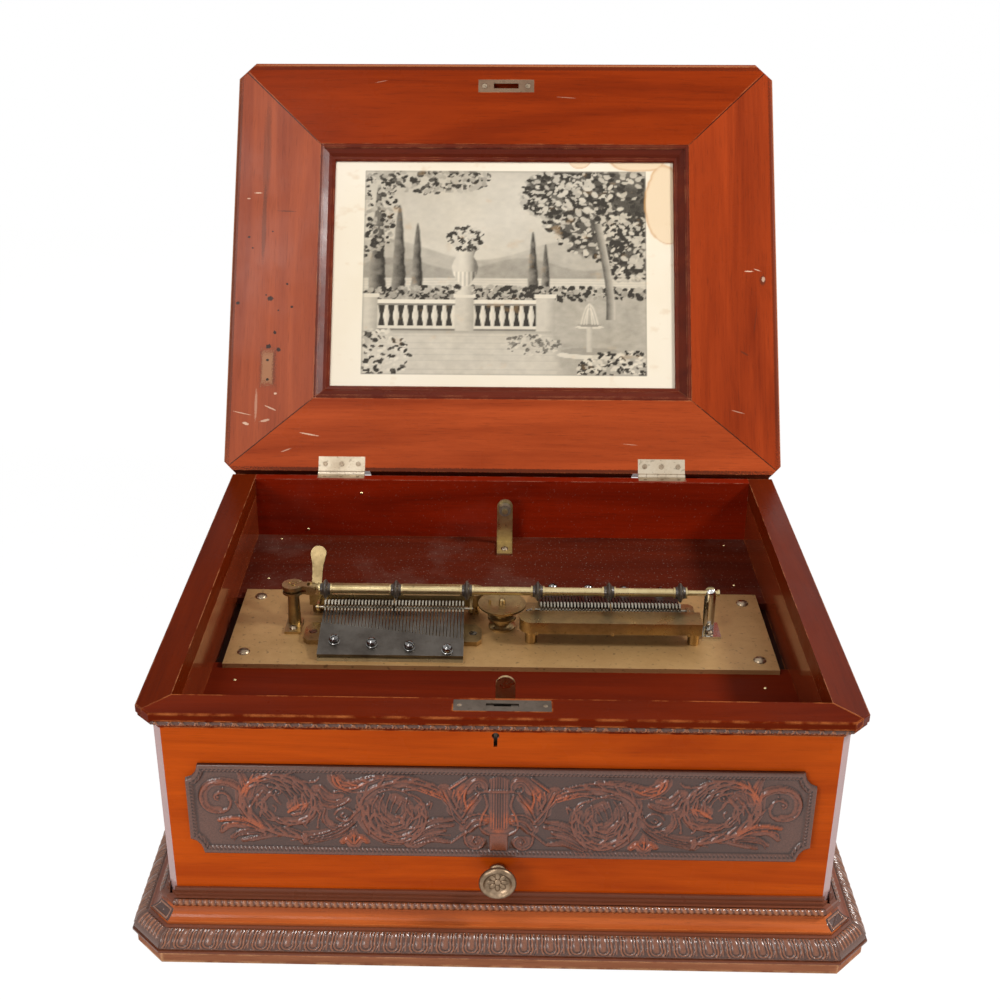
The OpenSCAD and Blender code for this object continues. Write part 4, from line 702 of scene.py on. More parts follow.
def plan_side(side, plan):
    """Half length, middle, direction along and way out of one side of a chamfered plan."""
    half_w, front, rear, chamfer = plan
    slant = math.sqrt(0.5)
    reach, middle_y = (front + rear) / 2 - chamfer, (rear - front) / 2
    corner_x, corner_y = half_w - chamfer / 2, front - chamfer / 2
    return {
        "front": (half_w - chamfer, (0, -front), (1, 0), (0, -1)),
        "right": (reach, (half_w, middle_y), (0, 1), (1, 0)),
        "left": (reach, (-half_w, middle_y), (0, -1), (-1, 0)),
        "front_right": (chamfer * slant, (corner_x, -corner_y), (slant, slant), (slant, -slant)),
        "front_left": (chamfer * slant, (-corner_x, -corner_y), (slant, -slant), (-slant, -slant)),
    }[side]


def capped(field, drop=0.0):
    return np.vstack([field[:1] - drop, field, field[-1:] - drop])


def carved_length(name, side, profile, plan, pitch, relief, step, material):
    """One length: a profile swept along a side of a plan, with its skin lifted by a relief that repeats."""
    reach, middle, onward, outward = plan_side(side, plan)
    profile = np.array(profile, float)
    flow = np.gradient(profile, axis=0)
    normal = np.stack([flow[:, 1], -flow[:, 0]], axis=1)
    normal /= np.linalg.norm(normal, axis=1)[:, None]
    run = np.concatenate([[0], np.cumsum(np.hypot(*np.diff(profile, axis=0).T))])
    count = int(2 * reach / step) + 1
    share = np.linspace(-1, 1, count)
    whole, height = np.meshgrid(share * reach, run / run[-1])
    ends = np.clip((reach - np.abs(whole) - BARE_END) / END_RISE, 0, 1)
    edges = np.clip(np.minimum(height, 1 - height) / EDGE_SHARE, 0, 1)
    bumps = relief(np.mod(whole + pitch / 2, pitch) - pitch / 2, height, whole) * ends * edges
    offset = capped(profile[:, :1] + normal[:, :1] * (SKIN + bumps), BACK)
    rise = capped(profile[:, 1:] + normal[:, 1:] * (SKIN + bumps))
    along = capped(share[None, :] * (reach + profile[:, :1] * MITRE_LEAN))
    px, py = (middle[i] + along * onward[i] + offset * outward[i] for i in (0, 1))
    points = np.stack([px, py, rise], axis=-1).reshape(-1, 3) * MM
    mesh = sheet_mesh(name, points.tolist(), count, True)
    full = np.pad(bumps, ((1, 1), (0, 0)))
    top = max(float(full.max()), 0.01)
    # The hollows get the painted shade mask, and the high points are rubbed.
    write_fields(mesh, {"raised": full / top, "shade_and_dirt": np.clip((softened(full, 5) - full) * 2.2 / top, 0, 1),
                        "rubbed": np.clip(full / top - 0.6, 0, 1) * 0.8})
    mesh.materials.append(material)
    for polygon in mesh.polygons:
        polygon.use_smooth = len(polygon.vertices) == 4
    made = put(name, mesh)
    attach(made, "case")


# Each relief gives a height in mm. It gets t, the way from the middle of its repeat, h, the share of the way
# over the profile, and whole, the way from the middle of the length.
ROPE_PITCH, EGG_PITCH, LEAF_PITCH, REED_PITCH, NO_REPEAT = 4.85, 19.0, 9.0, 4.1, 100.0


def ridge(distance, width):
    return np.clip(1 - (distance / width) ** 2, 0, 1) ** 0.5


def rope(t, h, whole):
    strand = 0.5 + 0.5 * np.cos((t / ROPE_PITCH + h * 0.55) * 2 * np.pi)
    return np.sin(np.pi * np.clip(h, 0, 1)) ** 0.5 * (0.12 + 0.95 * strand ** 0.7)


def egg_and_dart(t, h, whole):
    low, half = 0.34, EGG_PITCH / 2
    down = np.clip(low - h, 0, None) / 0.26
    reach = np.sqrt(t ** 2 + (down * 5.2) ** 2)
    out = 0.75 * ridge(reach, 2.5)
    for centre, width, tall in ((4.1, 0.75, 1.0), (6.3, 0.85, 1.15)):
        sway = centre - 0.5 * np.sin((h - low) * 4) * (h > low)
        out = np.maximum(out, tall * ridge(reach - sway, width))
    dart = half - np.abs(t)
    sweep = np.mod(t + half + 6, EGG_PITCH) - 6 + 3.6 * np.clip(0.45 - h, 0, 1) / 0.45
    out = np.where(h > 0.14, np.maximum(out, 0.9 * ridge(dart, 0.6 + 0.6 * h)), out)
    out = np.maximum(out, 0.95 * ridge(sweep, 0.6) * (h < 0.62) * (h > 0.1))
    out = np.where(h > 0.93, 0.55, out)
    scallop = np.abs(np.sin(np.pi * (t + half) / half))
    return np.where(h < 0.11, 0.5 * (h / 0.11 < scallop), out)


def leaf_band(t, h, whole):
    wobble = np.sin(whole * 0.37) * 0.8
    leaf = ridge((np.abs(t + wobble * h) - 2.6 * np.sin(np.pi * h)), 0.7)
    vein = 0.8 * ridge(t + 1.5 * (h - 0.5), 0.6) * (h > 0.15)
    curl = ridge(np.hypot(t - 3.4, (h - 0.3) * 6) - 1.2, 0.5)
    return 0.75 * np.maximum(np.maximum(leaf, vein), curl)


def reeds(t, h, whole):
    lean = np.sign(whole) * 1.6 * (h - 0.4)
    return 0.9 * ridge(t - lean, 1.25) * np.clip((h - 0.34) / 0.06, 0, 1)


def corner_square(t, h, whole):
    frame = np.maximum(ridge(np.abs(whole) - 12.6, 1.1), ridge(h - 0.86, 0.09) + ridge(h - 0.12, 0.09))
    nail = ridge(np.hypot(whole * 0.7, (h - 0.5) * 9.5), 1.1)
    return np.maximum(0.8 * np.clip(frame, 0, 1) * (np.abs(whole) < 13.8), 0.7 * nail)


# A plan: its half width, its front and rear from the middle, and its chamfer, in mm.
BASE_PLAN = (269.0, 217.5, 217.5, 24.0)
RIM_PLAN = (250.0, 198.5, 199.0, 11.5)
rope_profile = profile_arc(-23.8, 38.3, 2.9, -62, 78, 9)
egg_profile = profile_arc(-13.7, 12.5, 12.5, 3, 78, 40)
slope_profile = profile_arc(-13, 38.5, 10, -93, -148, 24)
leaf_profile = profile_arc(-3, 186.5, 6.5, 172, 95, 12) + profile_arc(-3.0, 195.2, 2.0, -50, 50, 5)
worn_carving = carved_wood("worn_carving", (0.13, 0.052, 0.030), (0.27, 0.095, 0.045), (0.42, 0.15, 0.055))
rope_carving = carved_wood("rope_carving", (0.13, 0.042, 0.020), (0.34, 0.10, 0.030), (0.52, 0.20, 0.07))
worn_side_carving = carved_wood("worn_side_carving", (0.15, 0.07, 0.045), (0.26, 0.10, 0.05), (0.5, 0.2, 0.08), "Y")
corner_carving = carved_wood("corner_carving", (0.075, 0.028, 0.018), (0.30, 0.14, 0.09), (0.5, 0.2, 0.08), "Y")
for side in ("front", "left", "right"):
    for name, profile, plan, pitch, relief, step, front_finish in (
            ("rope", rope_profile, BASE_PLAN, ROPE_PITCH, rope, 0.6, rope_carving),
            ("egg_and_dart", egg_profile, BASE_PLAN, EGG_PITCH, egg_and_dart, 0.5, worn_carving),
            ("leaf_band", leaf_profile, RIM_PLAN, LEAF_PITCH, leaf_band, 0.55, rope_carving)):
        carved_length(f"{name}_{side}", side, profile, plan, pitch, relief, step,
                      front_finish if side == "front" else worn_side_carving)
for side in ("front_left", "front_right"):
    carved_length(f"reeds_{side}", side, egg_profile, BASE_PLAN, REED_PITCH, reeds, 0.35, worn_carving)
    carved_length(f"corner_square_{side}", side, slope_profile, BASE_PLAN, NO_REPEAT, corner_square, 0.3,
                  corner_carving)

# Lid: four mitred rails round the print, with a raised panel above.
# The left rail keeps the ghost and the screw holes of a plate, a bruise down the grain, pricks and scratches.
# A mark: x, way up the lid, half width, half length, lean in degrees, 1 for a box, its colour and its strength.
BRUISE, BARE, HOLE, SCRATCH = (0.10, 0.028, 0.014), (0.42, 0.19, 0.09), (0.012, 0.006, 0.004), (0.80, 0.56, 0.40)
SHADOW, RUBBED, JOINT = (0.055, 0.014, 0.007), (0.50, 0.19, 0.08), (0.03, 0.009, 0.005)
left_marks = [(-229.5, 243, 2.2, 38, 0, 0, BRUISE, 0.55), (-229, 312, 3.8, 52, 0, 0, BRUISE, 0.4),
              (-221.0, 101, 7.4, 18.0, 0, 1, BRUISE, 0.75), (-221.6, 101, 5.4, 15.8, 0, 1, BARE, 0.8),
              (-208, 255.5, 8.5, 0.7, 2, 0, BRUISE, 0.7), (-231, 65, 1.3, 15, 0, 0, SCRATCH, 0.3),
              (-236, 273.7, 3.6, 0.6, 0, 0, SCRATCH, 0.8), (-245, 268, 1.6, 0.6, 0, 0, SCRATCH, 0.7),
              (-244, 57, 9, 0.45, 12, 0, SCRATCH, 0.6), (-240, 47, 3.2, 1.3, 20, 0, SCRATCH, 0.8),
              (-222, 50, 4.5, 1.2, -12, 0, SCRATCH, 0.6), (-203, 45, 6, 1.7, 0, 0, SCRATCH, 0.4),
              (-217, 62, 6, 0.7, 24, 0, SCRATCH, 0.6), (-213, 76, 1.4, 1.0, 0, 0, SCRATCH, 0.8)]
screw_holes = [(-221.6, 108.4, 1.3, 0), (-221, 89.5, 1.3, 0), (-243.4, 229.4, 1.1, 0), (-239.6, 218.5, 0.8, 0),
               (-221, 235.1, 0.8, 0), (-251.8, 163.9, 1.6, 0), (-200.2, 160.4, 1.2, 0), (-205.3, 183, 1.1, 30),
               (-215.5, 135.3, 1.5, 40), (-221, 168.6, 2.4, 0), (-221, 121.5, 2.2, -30), (-211.5, 118.5, 1.9, 20),
               (-225, 172, 0.8, 0), (-213, 157, 0.8, 0)]
left_marks += [(x, v, r * 1.2, r, lean, 0, HOLE, 0.95) for x, v, r, lean in screw_holes]
right_marks = [(232.6, 198.2, 4.5, 0.6, 0, 0, SCRATCH, 0.9), (240.5, 199.5, 3.5, 0.5, 20, 0, SCRATCH, 0.7),
               (245.6, 189.5, 2.8, 5.0, 0, 0, BRUISE, 0.7), (246.2, 190.5, 1.6, 2.6, 0, 0, SCRATCH, 0.6),
               (227.1, 118.2, 4.0, 1.1, 30, 0, BRUISE, 0.6), (238, 150, 0.5, 14, 8, 0, BRUISE, 0.4),
               (220, 62, 6, 0.5, 15, 0, SCRATCH, 0.4)]


def mitre_mark(inner, outer):
    (x0, v0), (x1, v1) = inner, outer
    return ((x0 + x1) / 2, (v0 + v1) / 2, math.hypot(x1 - x0, v1 - v0) / 2, 0.55,
            -math.degrees(math.atan2(v1 - v0, x1 - x0)), 1, JOINT, 0.9)


mitres = {side + end: mitre_mark((x * 177.3, v_in), (x * 259.3, v_out))
          for side, x in (("left", -1), ("right", 1))
          for end, v_in, v_out in (("low", 72.2, 2.8), ("high", 323.7, 405.0))}
for marks, side, x in ((left_marks, "left", -1), (right_marks, "right", 1)):
    marks += [(x * 256.6, 205, 2.4, 205, 0, 1, SHADOW, 0.6), (x * 259.0, 205, 1.0, 205, 0, 1, RUBBED, 0.75),
              mitres[side + "low"], mitres[side + "high"]]
high_marks = [(0, 402.2, 262, 2.4, 0, 1, SHADOW, 0.6), (0, 404.6, 262, 1.0, 0, 1, RUBBED, 0.75),
              mitres["lefthigh"], mitres["righthigh"],
              (60, 372, 9, 0.4, 4, 0, SCRATCH, 0.3), (-120, 388, 6, 0.4, -12, 0, SCRATCH, 0.3)]
low_marks = [(0, 4.4, 262, 1.7, 0, 1, SHADOW, 0.8), mitres["leftlow"], mitres["rightlow"],
             (-180, 37.2, 9, 0.7, 10, 0, SCRATCH, 0.8), (-201, 22, 5, 0.6, -20, 0, SCRATCH, 0.5),
             (120, 30, 7, 0.4, 5, 0, SCRATCH, 0.35)]


def rail_wood(name, light, deep, axis, marks, **values):
    return wood(name, light, deep, axis, LID_OPEN, wear=(0.62, 0.24, 0.09), worn=0.6, marks=marks, **values)


dress(["lid_rail_rear"], rail_wood("lid_rear_wood", (0.50, 0.082, 0.019), (0.23, 0.028, 0.006), "X", low_marks))
dress(["lid_rail_front"], rail_wood("lid_front_wood", (0.35, 0.040, 0.004), (0.145, 0.013, 0.002), "X", high_marks,
                                    sheen_level=0.05, shift=(0.4, 0.3, 0)))
dress(["lid_rail_left"], rail_wood("lid_left_wood", (0.42, 0.085, 0.026), (0.21, 0.032, 0.010), "Y", left_marks,
                                   dull=(0.3, 0.42), sheen_level=0.2))
dress(["lid_rail_right"], rail_wood("lid_right_wood", (0.44, 0.058, 0.010), (0.17, 0.017, 0.003), "Y", right_marks,
                                    shift=(0.3, 0.7, 0)))
dress(["lid_panel"], wood("lid_panel_wood", (0.38, 0.07, 0.018), (0.22, 0.03, 0.009), tilt=LID_OPEN))
dress(["lid_moulding"], wood("lid_moulding_wood", (0.16, 0.020, 0.005), (0.07, 0.008, 0.003), tilt=LID_OPEN,
                             sheen_level=0.14, wear=(0.42, 0.14, 0.06), worn=1.3))


def on_open_lid(x, v, depth):
    """Points in mm, by their way up the lid from the hinge pins and their depth behind its inner face."""
    return np.stack([x, PIN_Y + OPEN_COS * v + OPEN_SIN * depth, PIN_Z + OPEN_SIN * v - OPEN_COS * depth], axis=-1)


def solid_mesh(name, points, faces):
    """A mesh with its faces turned outwards."""
    mesh = bpy.data.meshes.new(name)
    mesh.from_pydata(points, [], faces)
    made = bmesh.new()
    made.from_mesh(mesh)
    bmesh.ops.recalc_face_normals(made, faces=made.faces)
    made.to_mesh(mesh)
    made.free()
    return mesh


# A slip closes the rear edge of the lid and swells into a bead at its outer corner, clear of the hinges. Its
# near-black colour is painted shade.
slip_section = [(3.4, 0.8), (2.3, 0.8), (2.3, 12.5), (1.2, 13.5), (0.5, 15.5), (0.5, 17.5), (1.3, 19.4), (3.4, 19.4)]
slip_points, slip_faces, wide = [], [], len(slip_section)
for span in ((-250, -168), (-122, 122), (168, 250)):
    first = len(slip_points)
    slip_points += [(on_open_lid(x, v, depth) * MM).tolist() for x in span for v, depth in slip_section]
    slip_faces += [(first + k, first + (k + 1) % wide, first + wide + (k + 1) % wide, first + wide + k)
                   for k in range(wide)]
    slip_faces += [tuple(first + k for k in reversed(range(wide))), tuple(first + wide + k for k in range(wide))]
slip = solid_mesh("lid_edge_slip", slip_points, slip_faces)
# Near-black: painted shade on the lid's rear edge, where the gap above the rear wall shows dark.
slip.materials.append(wood("slip_painted_shade", (0.10, 0.018, 0.008), (0.05, 0.008, 0.004), tilt=LID_OPEN, dull=(0.6, 0.8),
                           sheen_level=0.0, worn=0.2))
lid_edge_slip = put("lid_edge_slip", slip)
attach(lid_edge_slip, "lid")


# Metals: cast and gilt iron, dark comb steel, aged brass, nickel plate and grey lock steel.
# Every one is brushed or cast unevenly and has darkened in patches and dark spots.
def make_tarnish():
    group, given, out, _ = new_group(
        "tarnish", {"Clean": "Color", "Dark": "Color", "Scale": "Float", "Spots": "Float"},
        {"Color": "Color", "Dull": "Float", "Height": "Float"})
    place = object_place(group)
    share = spread(group, noise(group, place, given["Scale"], 5.0, 0.65), 0.38, 0.72)
    spots = spread(group, noise(group, place, 260.0, 2, 0.5), 0.62, 0.72)
    colour = mix_colour(group, share, given["Clean"], given["Dark"])
    colour = mix_colour(group, times(group, spots, given["Spots"]), colour, (0.05, 0.035, 0.02))
    feed(group, out["Color"], colour)
    feed(group, out["Dull"], share)
    feed(group, out["Height"], noise(group, place, 900.0, 3, 0.6))
    return group


tarnish = make_tarnish()
METAL_WORN, METAL_WEAR_WIDTH = 0.6, 0.0005


def metal(name, clean, dark, metallic=1.0, dull=(0.25, 0.5), scale=40.0, spots=0.3, bump=0.06, wear=None):
    """Metal of two colours, and a third one where its edges are rubbed."""
    material, tree = new_material(name)
    old = add(tree, "ShaderNodeGroup", node_tree=tarnish, Clean=clean, Dark=dark, Scale=scale, Spots=spots).outputs
    colour = old["Color"]
    if wear:
        rub = add(tree, "ShaderNodeGroup", node_tree=edge_wear, Vector=object_place(tree), Width=METAL_WEAR_WIDTH,
                  Amount=METAL_WORN)
        colour = mix_colour(tree, rub.outputs["Mask"], colour, wear)
    principled(tree, Base_Color=colour, Normal=bump_from(tree, old["Height"], bump, 0.0003),
               Roughness=spread(tree, old["Dull"], 0.0, 1.0, *dull), Metallic=metallic)
    return material


brass = metal("aged_brass", (0.62, 0.50, 0.27), (0.34, 0.25, 0.12), wear=(0.80, 0.68, 0.42))
bright_brass = metal("bright_brass", (0.74, 0.61, 0.33), (0.46, 0.35, 0.17), dull=(0.2, 0.4), wear=(0.85, 0.74, 0.48))
comb_steel = metal("comb_steel", (0.12, 0.105, 0.09), (0.06, 0.05, 0.042), dull=(0.3, 0.5), wear=(0.45, 0.43, 0.4))
star_steel = metal("star_steel", (0.42, 0.38, 0.31), (0.20, 0.17, 0.13), dull=(0.3, 0.55))
screw_black = metal("screw_black", (0.26, 0.255, 0.25), (0.09, 0.085, 0.08), dull=(0.12, 0.26), wear=(0.6, 0.58, 0.55))
nickel = metal("nickel_plate", (0.66, 0.65, 0.62), (0.42, 0.40, 0.37), dull=(0.12, 0.3), spots=0.2)
lock_steel = metal("lock_steel", (0.155, 0.125, 0.10), (0.085, 0.066, 0.052), dull=(0.35, 0.6), spots=0.4)
hinge_metal = metal("hinge_metal", (0.58, 0.49, 0.37), (0.36, 0.285, 0.20), dull=(0.3, 0.5), spots=0.4)
knob_metal = metal("knob_metal", (0.35, 0.245, 0.16), (0.12, 0.08, 0.048), dull=(0.3, 0.5), scale=120.0)
gilt = metal("gilt_iron", (0.50, 0.305, 0.125), (0.33, 0.185, 0.066), metallic=0.55, dull=(0.45, 0.65), scale=14.0,
             spots=0.5, bump=0.25, wear=(0.75, 0.6, 0.35))
dress(["bedplate"], gilt)
dress(["left_comb", "right_comb"], comb_steel)
dress(["comb_screws"], screw_black)
dress(["pressure_bar", "edge_brackets", "motor_frame", "governor_fan", "winding_escutcheon",
       "spring_barrel", "train_arbor"], brass)
dress(["comb_beds", "gantries", "left_post", "spindle_pedestal", "turntable"],
      metal("brown_brass", (0.40, 0.29, 0.14), (0.17, 0.11, 0.05), wear=(0.75, 0.60, 0.36)))
dress(["thumb_tongue"], metal("tongue_brass", (0.34, 0.25, 0.125), (0.19, 0.13, 0.06), dull=(0.35, 0.55), bump=0.1))
dress(["lid_strike"], metal("strike_brass", (0.24, 0.155, 0.10), (0.12, 0.07, 0.045), spots=0.5))
dress(["left_star_wheels", "right_star_wheels", "rear_edge_roller", "front_edge_roller", "winding_arbor"], star_steel)
dress(["right_post"], nickel)
dress(["rim_lock", "lock_bolt"], lock_steel)
dress(["lid_hinge_leaves", "case_hinge_leaves"], hinge_metal)
dress(["case_screws", "lid_screws"], metal("old_screws", (0.38, 0.29, 0.20), (0.14, 0.095, 0.06), dull=(0.25, 0.5),
                                           scale=160.0, spots=0.5, wear=(0.75, 0.66, 0.52)))
roller_black = metal("roller_black", (0.06, 0.045, 0.035), (0.025, 0.018, 0.015), metallic=0.2, dull=(0.25, 0.45),
                     wear=(0.35, 0.27, 0.16))
dress([f"roller_{i}" for i in range(1, 7)], roller_black)


# Start and stop knob: a turned brass button with a dished face, on a stem that slides through the front.
# Its worn casting is a plain rosette in the bottom of the dish.
KNOB_X, KNOB_Z, KNOB_SIDES = -0.5, 68.5, 72
KNOB_BACK, KNOB_FACE, KNOB_ROUND_FROM = -28.5, 14.3, 9
knob_profile = [(4.0, KNOB_BACK), (4.0, 2.0), (6.2, 2.0), (6.2, 4.0), (4.8, 5.5), (4.8, 9.5), (6.5, 12.2), (9.2, 13.2)]
knob_profile += profile_arc(10.9, 15.9, 2.6, -80, 95, 12)
knob_profile += [(10.2, 18.1), (9.6, 17.2), (8.6, 16.0), (7.2, 15.2), (5.0, 14.7), (2.5, 14.4)]


def turned_mesh(name, profile, back, face, sides):
    points = [(0, -back, 0)]
    for radius, out in profile:
        angles = [2 * math.pi * k / sides for k in range(sides)]
        points += [(radius * math.cos(angle), -out, radius * math.sin(angle)) for angle in angles]
    points.append((0, -face, 0))
    faces = [(0, 1 + (k + 1) % sides, 1 + k) for k in range(sides)]
    for j in range(len(profile) - 1):
        a, b = 1 + j * sides, 1 + (j + 1) * sides
        faces += [(a + k, a + (k + 1) % sides, b + (k + 1) % sides, b + k) for k in range(sides)]
    last = len(points) - 1
    faces += [(last, last - sides + k, last - sides + (k + 1) % sides) for k in range(sides)]
    return solid_mesh(name, points, faces)


knob_mesh = turned_mesh("pull_knob", knob_profile, KNOB_BACK, KNOB_FACE, KNOB_SIDES)
knob_mesh.transform(Matrix.Translation((KNOB_X * MM, WALL_FACE * MM, KNOB_Z * MM)) @ Matrix.Scale(MM, 4))
for polygon in knob_mesh.polygons:
    in_front = polygon.center.y < (WALL_FACE - KNOB_ROUND_FROM) * MM
    polygon.use_smooth = len(polygon.vertices) == 4 and in_front
knob_mesh.materials.append(knob_metal)
pull_knob = put("pull_knob", knob_mesh)
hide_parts("front_knob")
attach(pull_knob, "knob")


def freeze_modifiers(made):
    plain_mesh = bpy.data.meshes.new_from_object(made.evaluated_get(bpy.context.evaluated_depsgraph_get()))
    made.modifiers.clear()
    made.data = plain_mesh


# Small pieces are grown by geometry nodes and kept as plain meshes.
def grown(name, mesh, tree, sockets, values, body):
    made = put(name, mesh)
    modifier = made.modifiers.new("grown", "NODES")
    modifier.node_group = tree
    for label, value in values.items():
        modifier[sockets[label]] = value
    freeze_modifiers(made)
    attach(made, body)


def on_points(tree, points, instance, axis, aim):
    turned = add(tree, "FunctionNodeAlignRotationToVector", axis=axis, Vector=aim).outputs[0]
    return add(tree, "GeometryNodeInstanceOnPoints", Points=points, Instance=instance, Rotation=turned).outputs[0]


def finish_tree(tree, out, geometry, finish):
    solid = add(tree, "GeometryNodeRealizeInstances", Geometry=geometry).outputs[0]
    feed(tree, out["Geometry"], add(tree, "GeometryNodeSetMaterial", Geometry=solid, Material=finish).outputs[0])


petals, asked, out, petal_sockets = new_group(
    "rosette", {"Geometry": "Geometry", "Petals": "Int", "Ring Radius": "Float", "Petal Size": "Vector",
                "Boss Size": "Vector", "Place": "Vector", "Finish": "Material"},
    {"Geometry": "Geometry"}, "GeometryNodeTree")
ring = add(petals, "GeometryNodeMeshCircle", Vertices=asked["Petals"], Radius=asked["Ring Radius"]).outputs["Mesh"]
ball = add(petals, "GeometryNodeMeshUVSphere", Segments=16, Rings=10, Radius=1.0).outputs["Mesh"]
petal = add(petals, "GeometryNodeTransform", Geometry=ball, Scale=asked["Petal Size"]).outputs[0]
boss = add(petals, "GeometryNodeTransform", Geometry=ball, Scale=asked["Boss Size"]).outputs[0]
flower = petals.nodes.new("GeometryNodeJoinGeometry")
outward = add(petals, "GeometryNodeInputPosition").outputs[0]
feed(petals, flower.inputs[0], on_points(petals, ring, petal, "X", outward))
feed(petals, flower.inputs[0], boss)
upright = add(petals, "GeometryNodeTransform", Geometry=flower.outputs[0], Rotation=(math.radians(90), 0, 0),
              Translation=asked["Place"])
finish_tree(petals, out, upright.outputs[0], asked["Finish"])
ROSETTE_DEPTH = 14.9
grown("knob_rosette", bpy.data.meshes.new("knob_rosette"), petals, petal_sockets,
      {"Petals": 8, "Ring Radius": 5.3 * MM, "Petal Size": (3.1 * MM, 1.9 * MM, 1.0 * MM),
       "Boss Size": (2.6 * MM, 2.6 * MM, 1.4 * MM),
       "Place": (KNOB_X * MM, (WALL_FACE - ROSETTE_DEPTH) * MM, KNOB_Z * MM), "Finish": knob_metal}, "knob")

# Brass pins hold the deck boards to their ledges and the rear wall's lining; their round heads stand a little proud.
# One tree sets a head on every point, turned to the face that it is driven into.
DECK_TOP, LINING_FACE = 0.146, 0.189
deck_pins = [(-205, 102.8), (-206.5, -64.3), (204.8, 99), (204.6, -66.6), (-204.7, 181.2), (206.9, 176.4)]
wall_pins = [(-129.1, 189.8), (-180.2, 151.9)]
pin_points = [(x * MM, y * MM, DECK_TOP) for x, y in deck_pins] + [(x * MM, LINING_FACE, z * MM) for x, z in wall_pins]
pin_aims = [(0, 0, 1)] * len(deck_pins) + [(0, -1, 0)] * len(wall_pins)
pin_mesh = bpy.data.meshes.new("deck_pins")
pin_mesh.from_pydata(pin_points, [], [])
aims = np.array(pin_aims, np.float32).ravel()
pin_mesh.attributes.new("aim", "FLOAT_VECTOR", "POINT").data.foreach_set("vector", aims)
pins, asked, out, pin_sockets = new_group(
    "pins", {"Geometry": "Geometry", "Head Radius": "Float", "Flatness": "Vector", "Finish": "Material"},
    {"Geometry": "Geometry"}, "GeometryNodeTree")
ball = add(pins, "GeometryNodeMeshUVSphere", Segments=16, Rings=10, Radius=asked["Head Radius"]).outputs["Mesh"]
head = add(pins, "GeometryNodeTransform", Geometry=ball, Scale=asked["Flatness"]).outputs[0]
aim = add(pins, "GeometryNodeInputNamedAttribute", data_type="FLOAT_VECTOR", Name="aim").outputs["Attribute"]
finish_tree(pins, out, on_points(pins, asked["Geometry"], head, "Z", aim), asked["Finish"])
grown("deck_pins", pin_mesh, pins, pin_sockets,
      {"Head Radius": 1.5 * MM, "Flatness": (1.0, 1.0, 0.55), "Finish": bright_brass}, "case")


# Print in the lid's recess: a halftone garden view on heavy cream paper, slid into the moulding's rebate.
# Water has run in at the upper right and left orange tide lines.
# S and T run from 0 to 1 over the printed plate. A tone of 0 is bare paper and 1 is full ink.
SHEET_HALF, SHEET_LOW, SHEET_HIGH, SHEET_FACE = 169.3, 80.4, 316.2, 11.1
PAPER_THICK = 0.0008
sheet_x = np.linspace(-SHEET_HALF, SHEET_HALF, 354)
sheet_v = np.linspace(SHEET_LOW, SHEET_HIGH, 247)
SX, SV = np.meshgrid(sheet_x, sheet_v)
left, right_edge, low, high = -134.0, 137.0, 98.0, 301.0
S = (SX - left) / (right_edge - left)
T = (SV - low) / (high - low)
chance = np.random.default_rng(21)


def cloud_field(cells, seed):
    dice = np.random.default_rng(seed)
    total = np.zeros(SX.shape)
    for k in range(4):
        n = cells * 2 ** k
        grid = dice.random((n + 2, n + 2))
        gx, gy = (SX / SHEET_HALF + 1) / 2 * n, (SV - SHEET_LOW) / (SHEET_HIGH - SHEET_LOW) * n
        i, j = gx.astype(int), gy.astype(int)
        fx, fy = gx - i, gy - j
        fx, fy = fx * fx * (3 - 2 * fx), fy * fy * (3 - 2 * fy)
        total += ((grid[j, i] * (1 - fx) + grid[j, i + 1] * fx) * (1 - fy)
                  + (grid[j + 1, i] * (1 - fx) + grid[j + 1, i + 1] * fx) * fy) / 2 ** k
    return total / 1.875


def lay(tone, mask, value):
    mask = np.clip(mask, 0, 1)
    return tone * (1 - mask) + value * mask


def edge_of(value, soft):
    return np.clip(value / soft + 0.5, 0, 1)


def leaves(tone, count, place, size, light, dark):
    for _ in range(count):
        x, y = place()
        wide = size * chance.uniform(0.6, 1.3)
        tall = wide * chance.uniform(0.4, 0.8)
        i0, i1 = np.searchsorted(sheet_x, (x - wide, x + wide))
        j0, j1 = np.searchsorted(sheet_v, (y - wide, y + wide))
        if i0 >= i1 or j0 >= j1 or not (left < x < right_edge and low < y < high):
            continue
        lean = chance.uniform(-0.9, 0.9)
        u, w = sheet_x[None, i0:i1] - x, sheet_v[j0:j1, None] - y
        along_leaf = u * math.cos(lean) + w * math.sin(lean)
        across_leaf = w * math.cos(lean) - u * math.sin(lean)
        mask = np.clip((1 - ((along_leaf / wide) ** 2 + (across_leaf / tall) ** 2)) * 2.5, 0, 1)
        shade = light if chance.random() < 0.55 else dark
        shade += chance.uniform(-0.08, 0.08)
        tone[j0:j1, i0:i1] = tone[j0:j1, i0:i1] * (1 - mask) + shade * mask


def at(s, t):
    return left + s * (right_edge - left), low + t * (high - low)


def crown(cx, cy, rx, ry):
    def place():
        a, r = chance.uniform(0, 2 * math.pi), math.sqrt(chance.random())
        return at(cx + rx * r * math.cos(a), cy + ry * r * math.sin(a))
    return place


